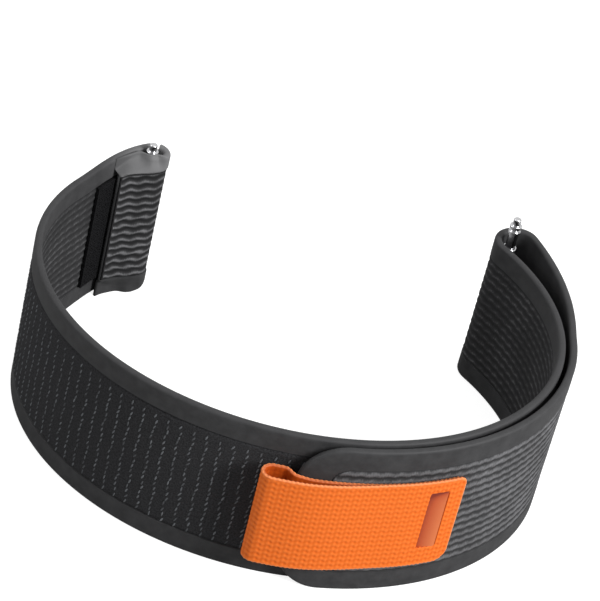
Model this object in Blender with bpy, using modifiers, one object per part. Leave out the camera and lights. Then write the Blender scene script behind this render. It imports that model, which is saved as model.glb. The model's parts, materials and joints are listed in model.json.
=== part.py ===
"""Nylon watch strap: a woven band folded round two spring bars, closed by a hook-and-loop flap.

The strap stands on its lower edges with +Z along its width. Every fabric piece is drawn flat, as a
pattern in (along, up) with its depth through the cloth, and is then bent along the strap's own path.
Lengths are in metres and angles in radians.
"""

import math

import bmesh
import bpy
import numpy as np
from mathutils import Vector

# Overall form: the wrist oval is the inner face of the band, seen from above
STRAP_WIDTH = 0.0220
OVAL_HALF_WIDTH = 0.0324
OVAL_HALF_DEPTH = 0.0272
BAND_THICKNESS = 0.00095
EDGE_CHAMFER = 0.00018

# Places round the oval, as ellipse angles: the front is at 270 degrees and the right side at 360
LEFT_BAR_ANGLE = math.radians(134.1)
LEFT_FLEX_ANGLE = math.radians(180.0)
FLAP_HINGE_ANGLE = math.radians(320.0)
RIGHT_FLEX_ANGLE = math.radians(361.0)
RIGHT_BAR_ANGLE = math.radians(404.8)

# How the layers lie on each other
LAYER_GAP = 0.00055
LEFT_SWELL = 0.0019
LEFT_SWELL_LENGTH = 0.0122
LEFT_LOOP_SLACK = 0.00012
RIGHT_LOOP_SLACK = 0.00130
LEFT_FOLD_REACH_SHARE = 1.15
RIGHT_FOLD_REACH_SHARE = 0.94
RIGHT_OPENING_LENGTH = 0.0178
RIGHT_OPENING_POWER = 1.3
LEFT_FLEX_GAP = 0.00055
RIGHT_FLEX_GAP = 0.00080
PEEL_GAP = 0.00030

# Woven panels let into the band
PANEL_BORDER = 0.0029
PANEL_THICKNESS = 0.00022
PANEL_BED = 0.00008
PANEL_CLEARANCE = 0.00015
LOOP_FIELD_BAR_MARGIN = 0.0060
LOOP_FIELD_PAST_PAD = 0.0006
LINING_UNDER_TAIL = 0.0040

# Tail of the left end, and the hook tape that holds it down
TAIL_LENGTH = 0.0054
TAIL_HINGE_RUN = 0.0012
HOOK_TAPE_WIDTH = 0.0066
HOOK_TAPE_SHOWING = 0.0033
HOOK_TAPE_THICKNESS = 0.00035
HOOK_TAPE_BED = 0.00008
HOOK_TAPE_LIFT = 0.00012

# Flap, with its tongue, its sunk ribbed panel and the hook pad under it
FLAP_LENGTH = 0.0237
TONGUE_RADIUS = 0.0058
FLAP_PANEL_MARGIN = 0.0040
FLAP_PANEL_RADIUS = 0.0024
HOOK_PAD_TIP_MARGIN = 0.0028
HOOK_PAD_HINGE_MARGIN = 0.0062
HOOK_PAD_BORDER = 0.0034
HOOK_PAD_RADIUS = 0.0030
HOOK_PAD_THICKNESS = 0.00020
HOOK_PAD_BED = 0.00008

# Pull tab of folded webbing, and the moulded insert sunk in its end for the fingertip
TAB_WIDTH = 0.0133
TAB_RISE = 0.0003
TAB_OVERHANG = 0.0039
TAB_HINGE_MARGIN = 0.00305
WEBBING_THICKNESS = 0.00050
WEBBING_BED = 0.00010
TAB_BOW = 0.00050
TAB_BOW_LENGTH = 0.0120
TAB_STEP_LENGTH = 0.0016
TAB_LIFT_OFF_BAND = 0.00030
TAB_END_LENGTH = 0.0066
TAB_TOP_RADIUS = 0.0007
TAB_BOTTOM_RADIUS = 0.0019
GRIP_WIDTH = 0.0032
GRIP_HEIGHT = 0.0087
GRIP_THICKNESS = 0.00030
GRIP_SINK = 0.00025
GRIP_CLEARANCE = 0.00010
GRIP_END_MARGIN = 0.0026
GRIP_RISE = 0.0010
GRIP_RADIUS = 0.0004

# Spring bars: a tube with a sprung, double-flanged plunger at each end
BAR_OVERHANG = 0.0009
LEFT_BAR_LIFT = 0.00020
RIGHT_BAR_LIFT = 0.00270
LEFT_BAR_SETBACK = 0.00025
RIGHT_BAR_ADVANCE = 0.00035
RIGHT_BAR_STANDOFF = 0.00035
BARREL_RADIUS = 0.00090
BARREL_WALL = 0.00012
BARREL_LIP_LENGTH = 0.00030
PLUNGER_HEAD_STEP = 0.00008
PLUNGER_RUNNING_GAP = 0.00006
PLUNGER_SHOWING = 0.00455
PLUNGER_HEAD_LENGTH = 0.0010
PLUNGER_END_PLAY = 0.00005
TIP_RADIUS = 0.00050
TIP_LENGTH = 0.0010
TIP_CHAMFER = 0.00012
FLANGE_RADIUS = 0.00078
FLANGE_LENGTH = 0.00045
GROOVE_RADIUS = 0.00056
GROOVE_LENGTH = 0.00035
SPRING_WIRE_RADIUS = 0.00010
SPRING_TURNS = 11
SPRING_POINTS_PER_TURN = 9

# Tool notch where the left end folds, beside the bar
NOTCH_WIDTH = 0.0012
NOTCH_PAST_FOOT = 0.0003
NOTCH_DEPTH = 0.0009
NOTCH_RADIUS = 0.0003

# Fineness of the model
TURN_STEP = math.radians(6.0)
SAMPLE_ANGLE = math.radians(0.25)
FIRST_ANGLE = math.radians(60.0)
LAST_ANGLE = math.radians(480.0)
FLAT_ANGLE = math.radians(1.0)
SHARP_ANGLE = math.radians(30.0)
FACING_SHARE = 0.9
MM_PER_METRE = 1000
FOLD_SAMPLES = 72
CORNER_STEPS = 5
TURNED_STEPS = 24
CUT_OVERRUN = 0.0010
STATION_MARGIN = 0.00008
WELD_DISTANCE = 0.0000005

# Sizes that follow from the ones above
HALF_THICKNESS = BAND_THICKNESS / 2
BAR_LENGTH = STRAP_WIDTH + BAR_OVERHANG
BARREL_BORE_RADIUS = BARREL_RADIUS - BARREL_WALL
PLUNGER_HEAD_RADIUS = BARREL_BORE_RADIUS - PLUNGER_RUNNING_GAP
PLUNGER_RADIUS = PLUNGER_HEAD_RADIUS - PLUNGER_HEAD_STEP
LEFT_BORE_RADIUS = BARREL_RADIUS + LEFT_LOOP_SLACK
RIGHT_BORE_RADIUS = BARREL_RADIUS + RIGHT_LOOP_SLACK
POCKET_DEPTH = PANEL_THICKNESS + PANEL_BED
TAIL_GAP = HOOK_TAPE_BED + HOOK_TAPE_THICKNESS + HOOK_TAPE_LIFT
PANEL_BOTTOM = PANEL_BORDER
PANEL_TOP = STRAP_WIDTH - PANEL_BORDER
TAB_BOTTOM = (STRAP_WIDTH - TAB_WIDTH) / 2 + TAB_RISE
TAB_TOP = TAB_BOTTOM + TAB_WIDTH

# Finishes, as linear colours with roughness and metallic value
FABRIC = ((0.040, 0.041, 0.044), 0.80, 0.0)
RIBBED_FABRIC = ((0.060, 0.061, 0.066), 0.85, 0.0)
LOOP_PILE = ((0.012, 0.013, 0.015), 0.90, 0.0)
HOOK_TAPE = ((0.004, 0.004, 0.005), 0.92, 0.0)
WEBBING = ((0.87, 0.21, 0.022), 0.75, 0.0)
MOULDED_GRIP = ((0.70, 0.13, 0.040), 0.45, 0.0)
STEEL = ((0.62, 0.62, 0.62), 0.22, 1.0)
SPRING_STEEL = ((0.45, 0.45, 0.46), 0.30, 1.0)

for leftover in list(bpy.data.objects):
    bpy.data.objects.remove(leftover)

parts = bpy.data.collections.new("nylon_watch_strap")
bpy.context.scene.collection.children.link(parts)
materials = {}


def material(name, finish):
    """One Principled material for each named finish."""
    if name not in materials:
        colour, roughness, metallic = finish
        made = bpy.data.materials.new(name)
        made.use_nodes = True
        shader = made.node_tree.nodes["Principled BSDF"]
        shader.inputs["Base Color"].default_value = (*colour, 1.0)
        shader.inputs["Roughness"].default_value = roughness
        shader.inputs["Metallic"].default_value = metallic
        materials[name] = made
    return materials[name]


def smooth(share):
    """An S-shaped ramp from 0 to 1."""
    share = min(max(share, 0.0), 1.0)
    return share * share * (3.0 - 2.0 * share)


def oval(angle, offset):
    """The point at an ellipse angle, moved out from the wrist oval by an offset."""
    normal_x = OVAL_HALF_DEPTH * math.cos(angle)
    normal_y = OVAL_HALF_WIDTH * math.sin(angle)
    size = math.hypot(normal_x, normal_y)
    x = OVAL_HALF_WIDTH * math.cos(angle) + offset * normal_x / size
    y = OVAL_HALF_DEPTH * math.sin(angle) + offset * normal_y / size
    return np.array((x, y))


def oval_runs():
    """Ellipse angles once and a half round, with the length along the wrist oval up to each."""
    angles = np.arange(FIRST_ANGLE, LAST_ANGLE, SAMPLE_ANGLE)
    ring = np.array([oval(angle, 0) for angle in angles])
    steps = np.linalg.norm(np.diff(ring, axis=0), axis=1)
    return angles, np.concatenate(([0], np.cumsum(steps)))


OVAL_ANGLES, OVAL_RUNS = oval_runs()


def oval_run(angle):
    """Length along the wrist oval up to an ellipse angle."""
    return float(np.interp(angle, OVAL_ANGLES, OVAL_RUNS))


def angle_at_run(run):
    """Ellipse angle at a length along the wrist oval."""
    return float(np.interp(run, OVAL_RUNS, OVAL_ANGLES))


class Path:
    """A line in plan that flat pieces are bent along, with its normal on the travel's right hand."""

    def __init__(self, points):
        self.plan = np.array(points)
        steps = np.linalg.norm(np.diff(self.plan, axis=0), axis=1)
        self.run = np.concatenate(([0], np.cumsum(steps)))
        tangent = np.gradient(self.plan, self.run, axis=0)
        tangent /= np.linalg.norm(tangent, axis=1)[:, None]
        self.normal = np.column_stack((tangent[:, 1], -tangent[:, 0]))
        heading = np.unwrap(np.arctan2(tangent[:, 1], tangent[:, 0]))
        turned = np.concatenate(([0], np.cumsum(np.abs(np.diff(heading)))))
        marks = np.arange(TURN_STEP, turned[-1], TURN_STEP)
        self.stations = np.interp(marks, turned, self.run)

    def place(self, along, up, out):
        """The point at a length along the path, a height and a distance out along the normal."""
        x, y = (float(np.interp(along, self.run, self.plan[:, axis])) for axis in (0, 1))
        normal = Vector([float(np.interp(along, self.run, self.normal[:, axis])) for axis in (0, 1)])
        normal.normalize()
        return Vector((x + normal.x * out, y + normal.y * out, up))


def left_swell(angle):
    """How far the band stands off the oval to make room for the left bar."""
    distance = oval_run(angle) - oval_run(LEFT_BAR_ANGLE)
    return LEFT_SWELL * smooth(1.0 - distance / LEFT_SWELL_LENGTH)


def tail_offset(angle):
    """Offset of the tail's middle, which closes on the band towards its free end."""
    distance = oval_run(angle) - oval_run(LEFT_BAR_ANGLE)
    open_share = smooth(1.0 - distance / TAIL_LENGTH)
    gap = TAIL_GAP + (2 * LEFT_BORE_RADIUS - TAIL_GAP) * open_share
    return left_swell(angle) - gap - HALF_THICKNESS


def return_offset(angle):
    """Offset of the outer layer's middle, which opens round the right bar."""
    distance = oval_run(RIGHT_BAR_ANGLE) - oval_run(angle)
    open_share = max(0.0, 1.0 - distance / RIGHT_OPENING_LENGTH) ** RIGHT_OPENING_POWER
    gap = LAYER_GAP + (2 * RIGHT_BORE_RADIUS - LAYER_GAP) * open_share
    return BAND_THICKNESS + gap + HALF_THICKNESS


def fold(angle, centre_offset, bore_radius, reach_share, travel_sign):
    """Half a turn round a bar, from the wrist side to the outside, without its two end points."""
    centre = oval(angle, centre_offset)
    outward = oval(angle, centre_offset + bore_radius + HALF_THICKNESS) - centre
    ahead = travel_sign * reach_share * np.array((-outward[1], outward[0]))
    turns = [math.pi * step / FOLD_SAMPLES for step in range(1, FOLD_SAMPLES)]
    return [centre - outward * math.cos(turn) + ahead * math.sin(turn) for turn in turns]


def angle_range(first, last):
    """Evenly spaced ellipse angles from first to last, both included."""
    count = max(2, math.ceil(abs(last - first) / SAMPLE_ANGLE))
    return np.linspace(first, last, count + 1)


LEFT_FOLD_OFFSET = LEFT_SWELL - LEFT_BORE_RADIUS
RIGHT_FOLD_OFFSET = BAND_THICKNESS + RIGHT_BORE_RADIUS
LEFT_BAR_PLAN = oval(angle_at_run(oval_run(LEFT_BAR_ANGLE) + LEFT_BAR_SETBACK), LEFT_FOLD_OFFSET)
RIGHT_BAR_PLAN = oval(
    angle_at_run(oval_run(RIGHT_BAR_ANGLE) + RIGHT_BAR_ADVANCE),
    BAND_THICKNESS + RIGHT_BAR_STANDOFF + BARREL_RADIUS)


def strap_path():
    """The middle of the cloth from beyond the tail, round both bars, to beyond the flap's tongue."""
    tail_far = angle_at_run(oval_run(LEFT_BAR_ANGLE) + TAIL_LENGTH + HOOK_TAPE_WIDTH)
    tail_angles = angle_range(tail_far, LEFT_BAR_ANGLE)
    band_angles = angle_range(LEFT_BAR_ANGLE, RIGHT_BAR_ANGLE)
    return_far = angle_at_run(oval_run(FLAP_HINGE_ANGLE) - FLAP_LENGTH - TAB_OVERHANG - RIGHT_OPENING_LENGTH)
    return_angles = angle_range(RIGHT_BAR_ANGLE, return_far)
    points = [oval(angle, tail_offset(angle)) for angle in tail_angles]
    points += fold(LEFT_BAR_ANGLE, LEFT_FOLD_OFFSET, LEFT_BORE_RADIUS, LEFT_FOLD_REACH_SHARE, -1)
    band_start = len(points)
    points += [oval(angle, HALF_THICKNESS + left_swell(angle)) for angle in band_angles]
    points += fold(RIGHT_BAR_ANGLE, RIGHT_FOLD_OFFSET, RIGHT_BORE_RADIUS, RIGHT_FOLD_REACH_SHARE, 1)
    return_start = len(points)
    points += [oval(angle, return_offset(angle)) for angle in return_angles]
    path = Path(points)
    band_runs = path.run[band_start:band_start + len(band_angles)]
    return_runs = path.run[return_start:return_start + len(return_angles)]
    tail_runs = path.run[:len(tail_angles)]
    return path, (band_angles, band_runs), (return_angles, return_runs), (tail_angles, tail_runs)


STRAP, BAND_TABLE, RETURN_TABLE, TAIL_TABLE = strap_path()


def band_at(angle):
    """Length along the strap's path where the inner layer passes an ellipse angle."""
    return float(np.interp(angle, *BAND_TABLE))


def return_at(angle):
    """Length along the strap's path where the outer layer passes an ellipse angle."""
    angles, runs = RETURN_TABLE
    return float(np.interp(angle, angles[::-1], runs[::-1]))


def band_under(along):
    """Length along the strap's path where the inner layer lies under a place on the outer one."""
    angles, runs = RETURN_TABLE
    return band_at(float(np.interp(along, runs, angles)))


# Marks along the strap's path, from the tail to the tongue
tail_turn = TAIL_TABLE[1][-1]
tail_hinge = tail_turn - TAIL_HINGE_RUN
tail_tip = tail_turn - TAIL_LENGTH
left_foot = band_at(LEFT_BAR_ANGLE)
left_flex = band_at(LEFT_FLEX_ANGLE)
right_flex = band_at(RIGHT_FLEX_ANGLE)
return_flex = return_at(RIGHT_FLEX_ANGLE)
flap_hinge = return_at(FLAP_HINGE_ANGLE)
flap_tip = flap_hinge + FLAP_LENGTH
pad_start = flap_hinge + HOOK_PAD_HINGE_MARGIN
pad_end = flap_tip - HOOK_PAD_TIP_MARGIN
tab_end = flap_hinge + TAB_HINGE_MARGIN
tab_hinge = tab_end + TAB_END_LENGTH


def rectangle(start, end, bottom, top, radii=(0, 0, 0, 0)):
    """Counter-clockwise outline; radii at start-bottom, end-bottom, end-top and start-top."""
    corners = ((start, bottom, 1, 1), (end, bottom, -1, 1), (end, top, -1, -1), (start, top, 1, -1))
    outline = []
    for index, (x, y, side_x, side_y) in enumerate(corners):
        radius = radii[index]
        steps = CORNER_STEPS if radius > 0 else 0
        for step in range(steps + 1):
            turn = math.pi * (1.0 + index / 2) + math.pi / 2 * (step / steps if steps else 0)
            reach_x = radius * (side_x + math.cos(turn)) if steps else 0
            reach_y = radius * (side_y + math.sin(turn)) if steps else 0
            outline.append((x + reach_x, y + reach_y))
    return outline


def mesh_from(draft):
    """The evaluated mesh of a draft object, which is then removed."""
    depsgraph = bpy.context.evaluated_depsgraph_get()
    mesh = bpy.data.meshes.new_from_object(draft.evaluated_get(depsgraph))
    bpy.data.objects.remove(draft)
    return mesh


def flat_piece(name, outline, low, high, chamfer=0):
    """A flat plate with x along the cloth, y up its width and z through it from low to high."""
    curve = bpy.data.curves.new(name, "CURVE")
    curve.dimensions = "2D"
    curve.fill_mode = "BOTH"
    curve.extrude = (high - low) / 2
    spline = curve.splines.new("POLY")
    spline.points.add(len(outline) - 1)
    for point, (x, y) in zip(spline.points, outline):
        point.co = (x, y, 0, 1)
    spline.use_cyclic_u = True
    draft = bpy.data.objects.new(name, curve)
    parts.objects.link(draft)
    mesh = mesh_from(draft)
    shape = bmesh.new()
    shape.from_mesh(mesh)
    bmesh.ops.remove_doubles(shape, verts=shape.verts, dist=WELD_DISTANCE)
    bmesh.ops.translate(shape, verts=shape.verts, vec=(0, 0, (low + high) / 2))
    bmesh.ops.dissolve_limit(shape, angle_limit=FLAT_ANGLE, verts=shape.verts, edges=shape.edges)
    bmesh.ops.recalc_face_normals(shape, faces=shape.faces)
    if chamfer > 0:
        rims = [edge for edge in shape.edges
                if any(abs(face.normal.z) > FACING_SHARE for face in edge.link_faces)]
        bmesh.ops.bevel(shape, geom=rims, offset=chamfer, segments=1, affect="EDGES")
    shape.to_mesh(mesh)
    shape.free()
    piece = bpy.data.objects.new(name, mesh)
    parts.objects.link(piece)
    return piece


def carve(piece, cutters):
    """Take flat cutters out of a flat piece, and remove them."""
    for cutter in cutters:
        cut = piece.modifiers.new(cutter.name, "BOOLEAN")
        cut.operation = "DIFFERENCE"
        cut.solver = "EXACT"
        cut.object = cutter
    depsgraph = bpy.context.evaluated_depsgraph_get()
    carved = bpy.data.meshes.new_from_object(piece.evaluated_get(depsgraph))
    piece.modifiers.clear()
    piece.data = carved
    for cutter in cutters:
        bpy.data.objects.remove(cutter)
    return piece


def bend(piece, path):
    """Slice a flat piece across at the path's stations, and bend it along the path."""
    shape = bmesh.new()
    shape.from_mesh(piece.data)
    bmesh.ops.remove_doubles(shape, verts=shape.verts, dist=WELD_DISTANCE)
    first = min(vertex.co.x for vertex in shape.verts) + STATION_MARGIN
    last = max(vertex.co.x for vertex in shape.verts) - STATION_MARGIN
    for station in path.stations:
        if first < station < last:
            whole = shape.verts[:] + shape.edges[:] + shape.faces[:]
            bmesh.ops.bisect_plane(
                shape, geom=whole, dist=WELD_DISTANCE, plane_co=(station, 0, 0), plane_no=(1, 0, 0))
    bmesh.ops.triangulate(shape, faces=shape.faces[:])
    for vertex in shape.verts:
        vertex.co = path.place(*vertex.co)
    shape.to_mesh(piece.data)
    shape.free()
    piece.data.shade_smooth()
    piece.data.set_sharp_from_angle(angle=SHARP_ANGLE)
    return piece


def finish(piece, slot, values, holder):
    """Give a piece its material and hang it on the empty of its body."""
    piece.data.materials.clear()
    piece.data.materials.append(material(slot, values))
    piece.parent = holder
    piece.matrix_parent_inverse = holder.matrix_world.inverted()
    return piece


def holder(name, place=(0, 0, 0), parent=None):
    """An empty on a joint's axis, which carries the pieces that turn or slide there."""
    empty = bpy.data.objects.new(name, None)
    empty.empty_display_size = STRAP_WIDTH / 2
    parts.objects.link(empty)
    empty.location = place
    if parent:
        empty.parent = parent
        empty.location = Vector(place) - parent.matrix_world.translation
    bpy.context.view_layer.update()
    return empty


def pocket(name, start, end, side, radii=(0, 0, 0, 0)):
    """Cutter of the bed that a woven panel is let into, on the side where out is + or -."""
    floor = HALF_THICKNESS - POCKET_DEPTH
    low, high = sorted((side * floor, side * (HALF_THICKNESS + CUT_OVERRUN)))
    return flat_piece(name, rectangle(start, end, PANEL_BOTTOM, PANEL_TOP, radii), low, high)


def panel(name, start, end, side, radii=(0, 0, 0, 0), slot="ribbed_nylon", values=RIBBED_FABRIC):
    """A woven panel that lies in its bed, flush with the band's face."""
    low, high = sorted((side * (HALF_THICKNESS - PANEL_THICKNESS), side * HALF_THICKNESS))
    bottom = PANEL_BOTTOM + PANEL_CLEARANCE
    top = PANEL_TOP - PANEL_CLEARANCE
    inner_radii = [max(radius - PANEL_CLEARANCE, 0) for radius in radii]
    piece = bend(flat_piece(name, rectangle(start, end, bottom, top, inner_radii), low, high), STRAP)
    return piece, slot, values


def band_strip(name, start, end, pockets=(), radii=(0, 0, 0, 0), notches=()):
    """A stretch of the band with its chamfered edges, its panel beds and any notches."""
    outline = rectangle(start, end, 0, STRAP_WIDTH, radii)
    strip = flat_piece(name, outline, -HALF_THICKNESS, HALF_THICKNESS, EDGE_CHAMFER)
    cutters = list(pockets) + list(notches)
    if cutters:
        carve(strip, cutters)
    return bend(strip, STRAP)


def turned(name, profile, place):
    """A turned piece about a vertical axis, from a profile that runs down its outer side."""
    mesh = bpy.data.meshes.new(name)
    closed = profile[0] == profile[-1]
    points = profile[:-1] if closed else profile
    edges = [(index, index + 1) for index in range(len(points) - 1)]
    if closed:
        edges.append((len(points) - 1, 0))
    mesh.from_pydata([(radius, 0, height) for radius, height in points], edges, [])
    piece = bpy.data.objects.new(name, mesh)
    parts.objects.link(piece)
    piece.location = place
    screw = piece.modifiers.new("turn", "SCREW")
    screw.axis = "Z"
    screw.angle = 2 * math.pi
    screw.steps = TURNED_STEPS
    screw.render_steps = TURNED_STEPS
    screw.use_merge_vertices = True
    screw.merge_threshold = WELD_DISTANCE
    return piece


def front_pieces(body):
    """The band across the front, its ribbed lining and the dotted loop field on its face."""
    start = left_flex + LEFT_FLEX_GAP / 2
    end = right_flex - RIGHT_FLEX_GAP / 2
    field_end = band_under(pad_start) + LOOP_FIELD_PAST_PAD
    beds = [
        pocket("lining_bed", start - CUT_OVERRUN, end + CUT_OVERRUN, -1),
        pocket("field_bed", start - CUT_OVERRUN, field_end, 1),
    ]
    finish(band_strip("front_band", start, end, beds), "pressed_nylon", FABRIC, body)
    finish(*panel("front_lining", start, end, -1), body)
    field = panel("front_loop_field", start, field_end - PANEL_CLEARANCE, 1,
                  slot="loop_pile", values=LOOP_PILE)
    finish(*field, body)


def left_arm_pieces(body):
    """The band from the left flex round the left bar, with its lining and its loop field."""
    end = left_flex - LEFT_FLEX_GAP / 2
    lining_start = band_at(angle_at_run(oval_run(LEFT_BAR_ANGLE) + TAIL_LENGTH - LINING_UNDER_TAIL))
    field_start = left_foot + LOOP_FIELD_BAR_MARGIN
    beds = [
        pocket("lining_bed", lining_start, end + CUT_OVERRUN, -1),
        pocket("field_bed", field_start, end + CUT_OVERRUN, 1),
    ]
    notch_end = left_foot - NOTCH_PAST_FOOT
    notch_outline = rectangle(
        notch_end - NOTCH_WIDTH, notch_end,
        STRAP_WIDTH - NOTCH_DEPTH, STRAP_WIDTH + CUT_OVERRUN, (NOTCH_RADIUS, NOTCH_RADIUS, 0, 0))
    reach = HALF_THICKNESS + CUT_OVERRUN
    notch = flat_piece("tool_notch", notch_outline, -reach, reach)
    strip = band_strip("left_arm_band", tail_hinge + PEEL_GAP / 2, end, beds, notches=[notch])
    finish(strip, "pressed_nylon", FABRIC, body)
    finish(*panel("left_arm_lining", lining_start + PANEL_CLEARANCE, end, -1), body)
    field = panel("left_arm_loop_field", field_start + PANEL_CLEARANCE, end, 1,
                  slot="loop_pile", values=LOOP_PILE)
    finish(*field, body)


def left_tail_pieces(body):
    """The turned-back tail of the left end, its ribbed face and the hook tape under its tip."""
    end = tail_hinge - PEEL_GAP / 2
    bed = pocket("tail_bed", tail_tip - CUT_OVERRUN, end + CUT_OVERRUN, 1)
    finish(band_strip("left_tail", tail_tip, end, [bed]), "pressed_nylon", FABRIC, body)
    finish(*panel("left_tail_rib_panel", tail_tip, end, 1), body)
    tape_start = tail_tip - HOOK_TAPE_SHOWING
    outline = rectangle(tape_start, tape_start + HOOK_TAPE_WIDTH, PANEL_BOTTOM, PANEL_TOP)
    top = -HALF_THICKNESS - HOOK_TAPE_BED
    tape = bend(flat_piece("left_tail_hook_tape", outline, top - HOOK_TAPE_THICKNESS, top), STRAP)
    finish(tape, "hook_tape", HOOK_TAPE, body)


def right_arm_pieces(body):
    """The band from the right flex round the right bar and back, ribbed on one face throughout."""
    start = right_flex + RIGHT_FLEX_GAP / 2
    end = return_flex - RIGHT_FLEX_GAP / 2
    bed = pocket("rib_bed", start - CUT_OVERRUN, end + CUT_OVERRUN, -1)
    finish(band_strip("right_arm_band", start, end, [bed]), "pressed_nylon", FABRIC, body)
    finish(*panel("right_arm_rib_panel", start, end, -1), body)


def return_pieces(body):
    """The outer layer between the right flex and the flap, which lies hooked on the front."""
    start = return_flex + RIGHT_FLEX_GAP / 2
    end = flap_hinge - PEEL_GAP / 2
    bed = pocket("rib_bed", start - CUT_OVERRUN, end + CUT_OVERRUN, -1)
    finish(band_strip("return_band", start, end, [bed]), "pressed_nylon", FABRIC, body)
    finish(*panel("return_rib_panel", start, end, -1), body)


def flap_pieces(body):
    """The flap with its round tongue, its sunk ribbed panel and the hook pad under it."""
    start = flap_hinge + PEEL_GAP / 2
    panel_end = flap_tip - FLAP_PANEL_MARGIN
    bed_radii = (0, FLAP_PANEL_RADIUS, FLAP_PANEL_RADIUS, 0)
    bed = pocket("rib_bed", start - CUT_OVERRUN, panel_end, -1, bed_radii)
    tongue = (0, TONGUE_RADIUS, TONGUE_RADIUS, 0)
    finish(band_strip("flap", start, flap_tip, [bed], tongue), "pressed_nylon", FABRIC, body)
    ribs = panel("flap_rib_panel", start, panel_end - PANEL_CLEARANCE, -1, bed_radii)
    finish(*ribs, body)
    pad_radii = (HOOK_PAD_RADIUS,) * 4
    outline = rectangle(
        pad_start, pad_end, HOOK_PAD_BORDER, STRAP_WIDTH - HOOK_PAD_BORDER, pad_radii)
    low = HALF_THICKNESS + HOOK_PAD_BED
    pad = bend(flat_piece("flap_hook_pad", outline, low, low + HOOK_PAD_THICKNESS), STRAP)
    finish(pad, "hook_tape", HOOK_TAPE, body)


def tab_depths(along):
    """Middle of the tab's inner and outer layer at a length along the strap, as distances out."""
    on_flap = -(HALF_THICKNESS + WEBBING_BED + WEBBING_THICKNESS / 2)
    on_band = HALF_THICKNESS + LAYER_GAP - TAB_LIFT_OFF_BAND - WEBBING_THICKNESS / 2
    past_tongue = smooth((along - flap_tip - WEBBING_BED) / TAB_STEP_LENGTH)
    inner = on_flap + (on_band - on_flap) * past_tongue
    bow = TAB_BOW * smooth((along - flap_tip + TAB_BOW_LENGTH) / TAB_BOW_LENGTH)
    outer = on_flap - WEBBING_THICKNESS - WEBBING_BED - bow
    return inner, outer


def tab_path():
    """The middle of the webbing: out along its inner layer, round the finger fold and back."""
    reach = flap_tip + TAB_OVERHANG
    inner, outer = tab_depths(reach)
    radius = (inner - outer) / 2
    turn_at = reach - radius - WEBBING_THICKNESS / 2
    alongs = np.linspace(tab_hinge, turn_at, FOLD_SAMPLES)
    points = [STRAP.place(along, 0, tab_depths(along)[0]) for along in alongs]
    for step in range(1, FOLD_SAMPLES):
        turn = math.pi * step / FOLD_SAMPLES
        depth = (inner + outer) / 2 + radius * math.cos(turn)
        points.append(STRAP.place(turn_at + radius * math.sin(turn), 0, depth))
    points += [STRAP.place(along, 0, tab_depths(along)[1]) for along in alongs[::-1]]
    return Path([(point.x, point.y) for point in points])


def tab_loop(body):
    """The free loop of the pull tab, folded back on itself as a finger loop."""
    path = tab_path()
    outline = rectangle(PEEL_GAP / 2, path.run[-1] - PEEL_GAP / 2, TAB_BOTTOM, TAB_TOP)
    half = WEBBING_THICKNESS / 2
    loop = bend(flat_piece("pull_tab_loop", outline, -half, half), path)
    finish(loop, "orange_webbing", WEBBING, body)


def tab_end_pieces(body):
    """The fused end of the pull tab, with a recess that holds the moulded grip below its face."""
    surface = -(HALF_THICKNESS + WEBBING_BED)
    face = surface - 2 * WEBBING_THICKNESS - WEBBING_BED
    grip_face = face + GRIP_SINK
    grip_back = grip_face + GRIP_THICKNESS
    grip_start = tab_end + GRIP_END_MARGIN
    grip_bottom = TAB_BOTTOM + (TAB_WIDTH - GRIP_HEIGHT) / 2 + GRIP_RISE
    grip_end = grip_start + GRIP_WIDTH
    grip_top = grip_bottom + GRIP_HEIGHT
    recess_outline = rectangle(
        grip_start - GRIP_CLEARANCE, grip_end + GRIP_CLEARANCE, grip_bottom - GRIP_CLEARANCE,
        grip_top + GRIP_CLEARANCE, (GRIP_RADIUS + GRIP_CLEARANCE,) * 4)
    recess = flat_piece("grip_recess", recess_outline, face - CUT_OVERRUN, grip_back + WEBBING_BED)
    outline = rectangle(tab_end, tab_hinge - PEEL_GAP / 2, TAB_BOTTOM, TAB_TOP,
                        (TAB_BOTTOM_RADIUS, 0, 0, TAB_TOP_RADIUS))
    end = carve(flat_piece("pull_tab_end", outline, face, surface), [recess])
    finish(bend(end, STRAP), "orange_webbing", WEBBING, body)
    grip_outline = rectangle(grip_start, grip_end, grip_bottom, grip_top, (GRIP_RADIUS,) * 4)
    grip = bend(flat_piece("pull_tab_grip", grip_outline, grip_face, grip_back), STRAP)
    finish(grip, "moulded_grip", MOULDED_GRIP, body)


def barrel_profile(half_length):
    """Outer side down, then up the bore, with a lip turned in at each mouth."""
    lip_radius = PLUNGER_RADIUS + PLUNGER_RUNNING_GAP
    inner = half_length - BARREL_LIP_LENGTH
    return [
        (BARREL_RADIUS, half_length), (BARREL_RADIUS, -half_length),
        (lip_radius, -half_length), (lip_radius, -inner),
        (BARREL_BORE_RADIUS, -inner), (BARREL_BORE_RADIUS, inner),
        (lip_radius, inner), (lip_radius, half_length),
        (BARREL_RADIUS, half_length),
    ]


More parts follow.
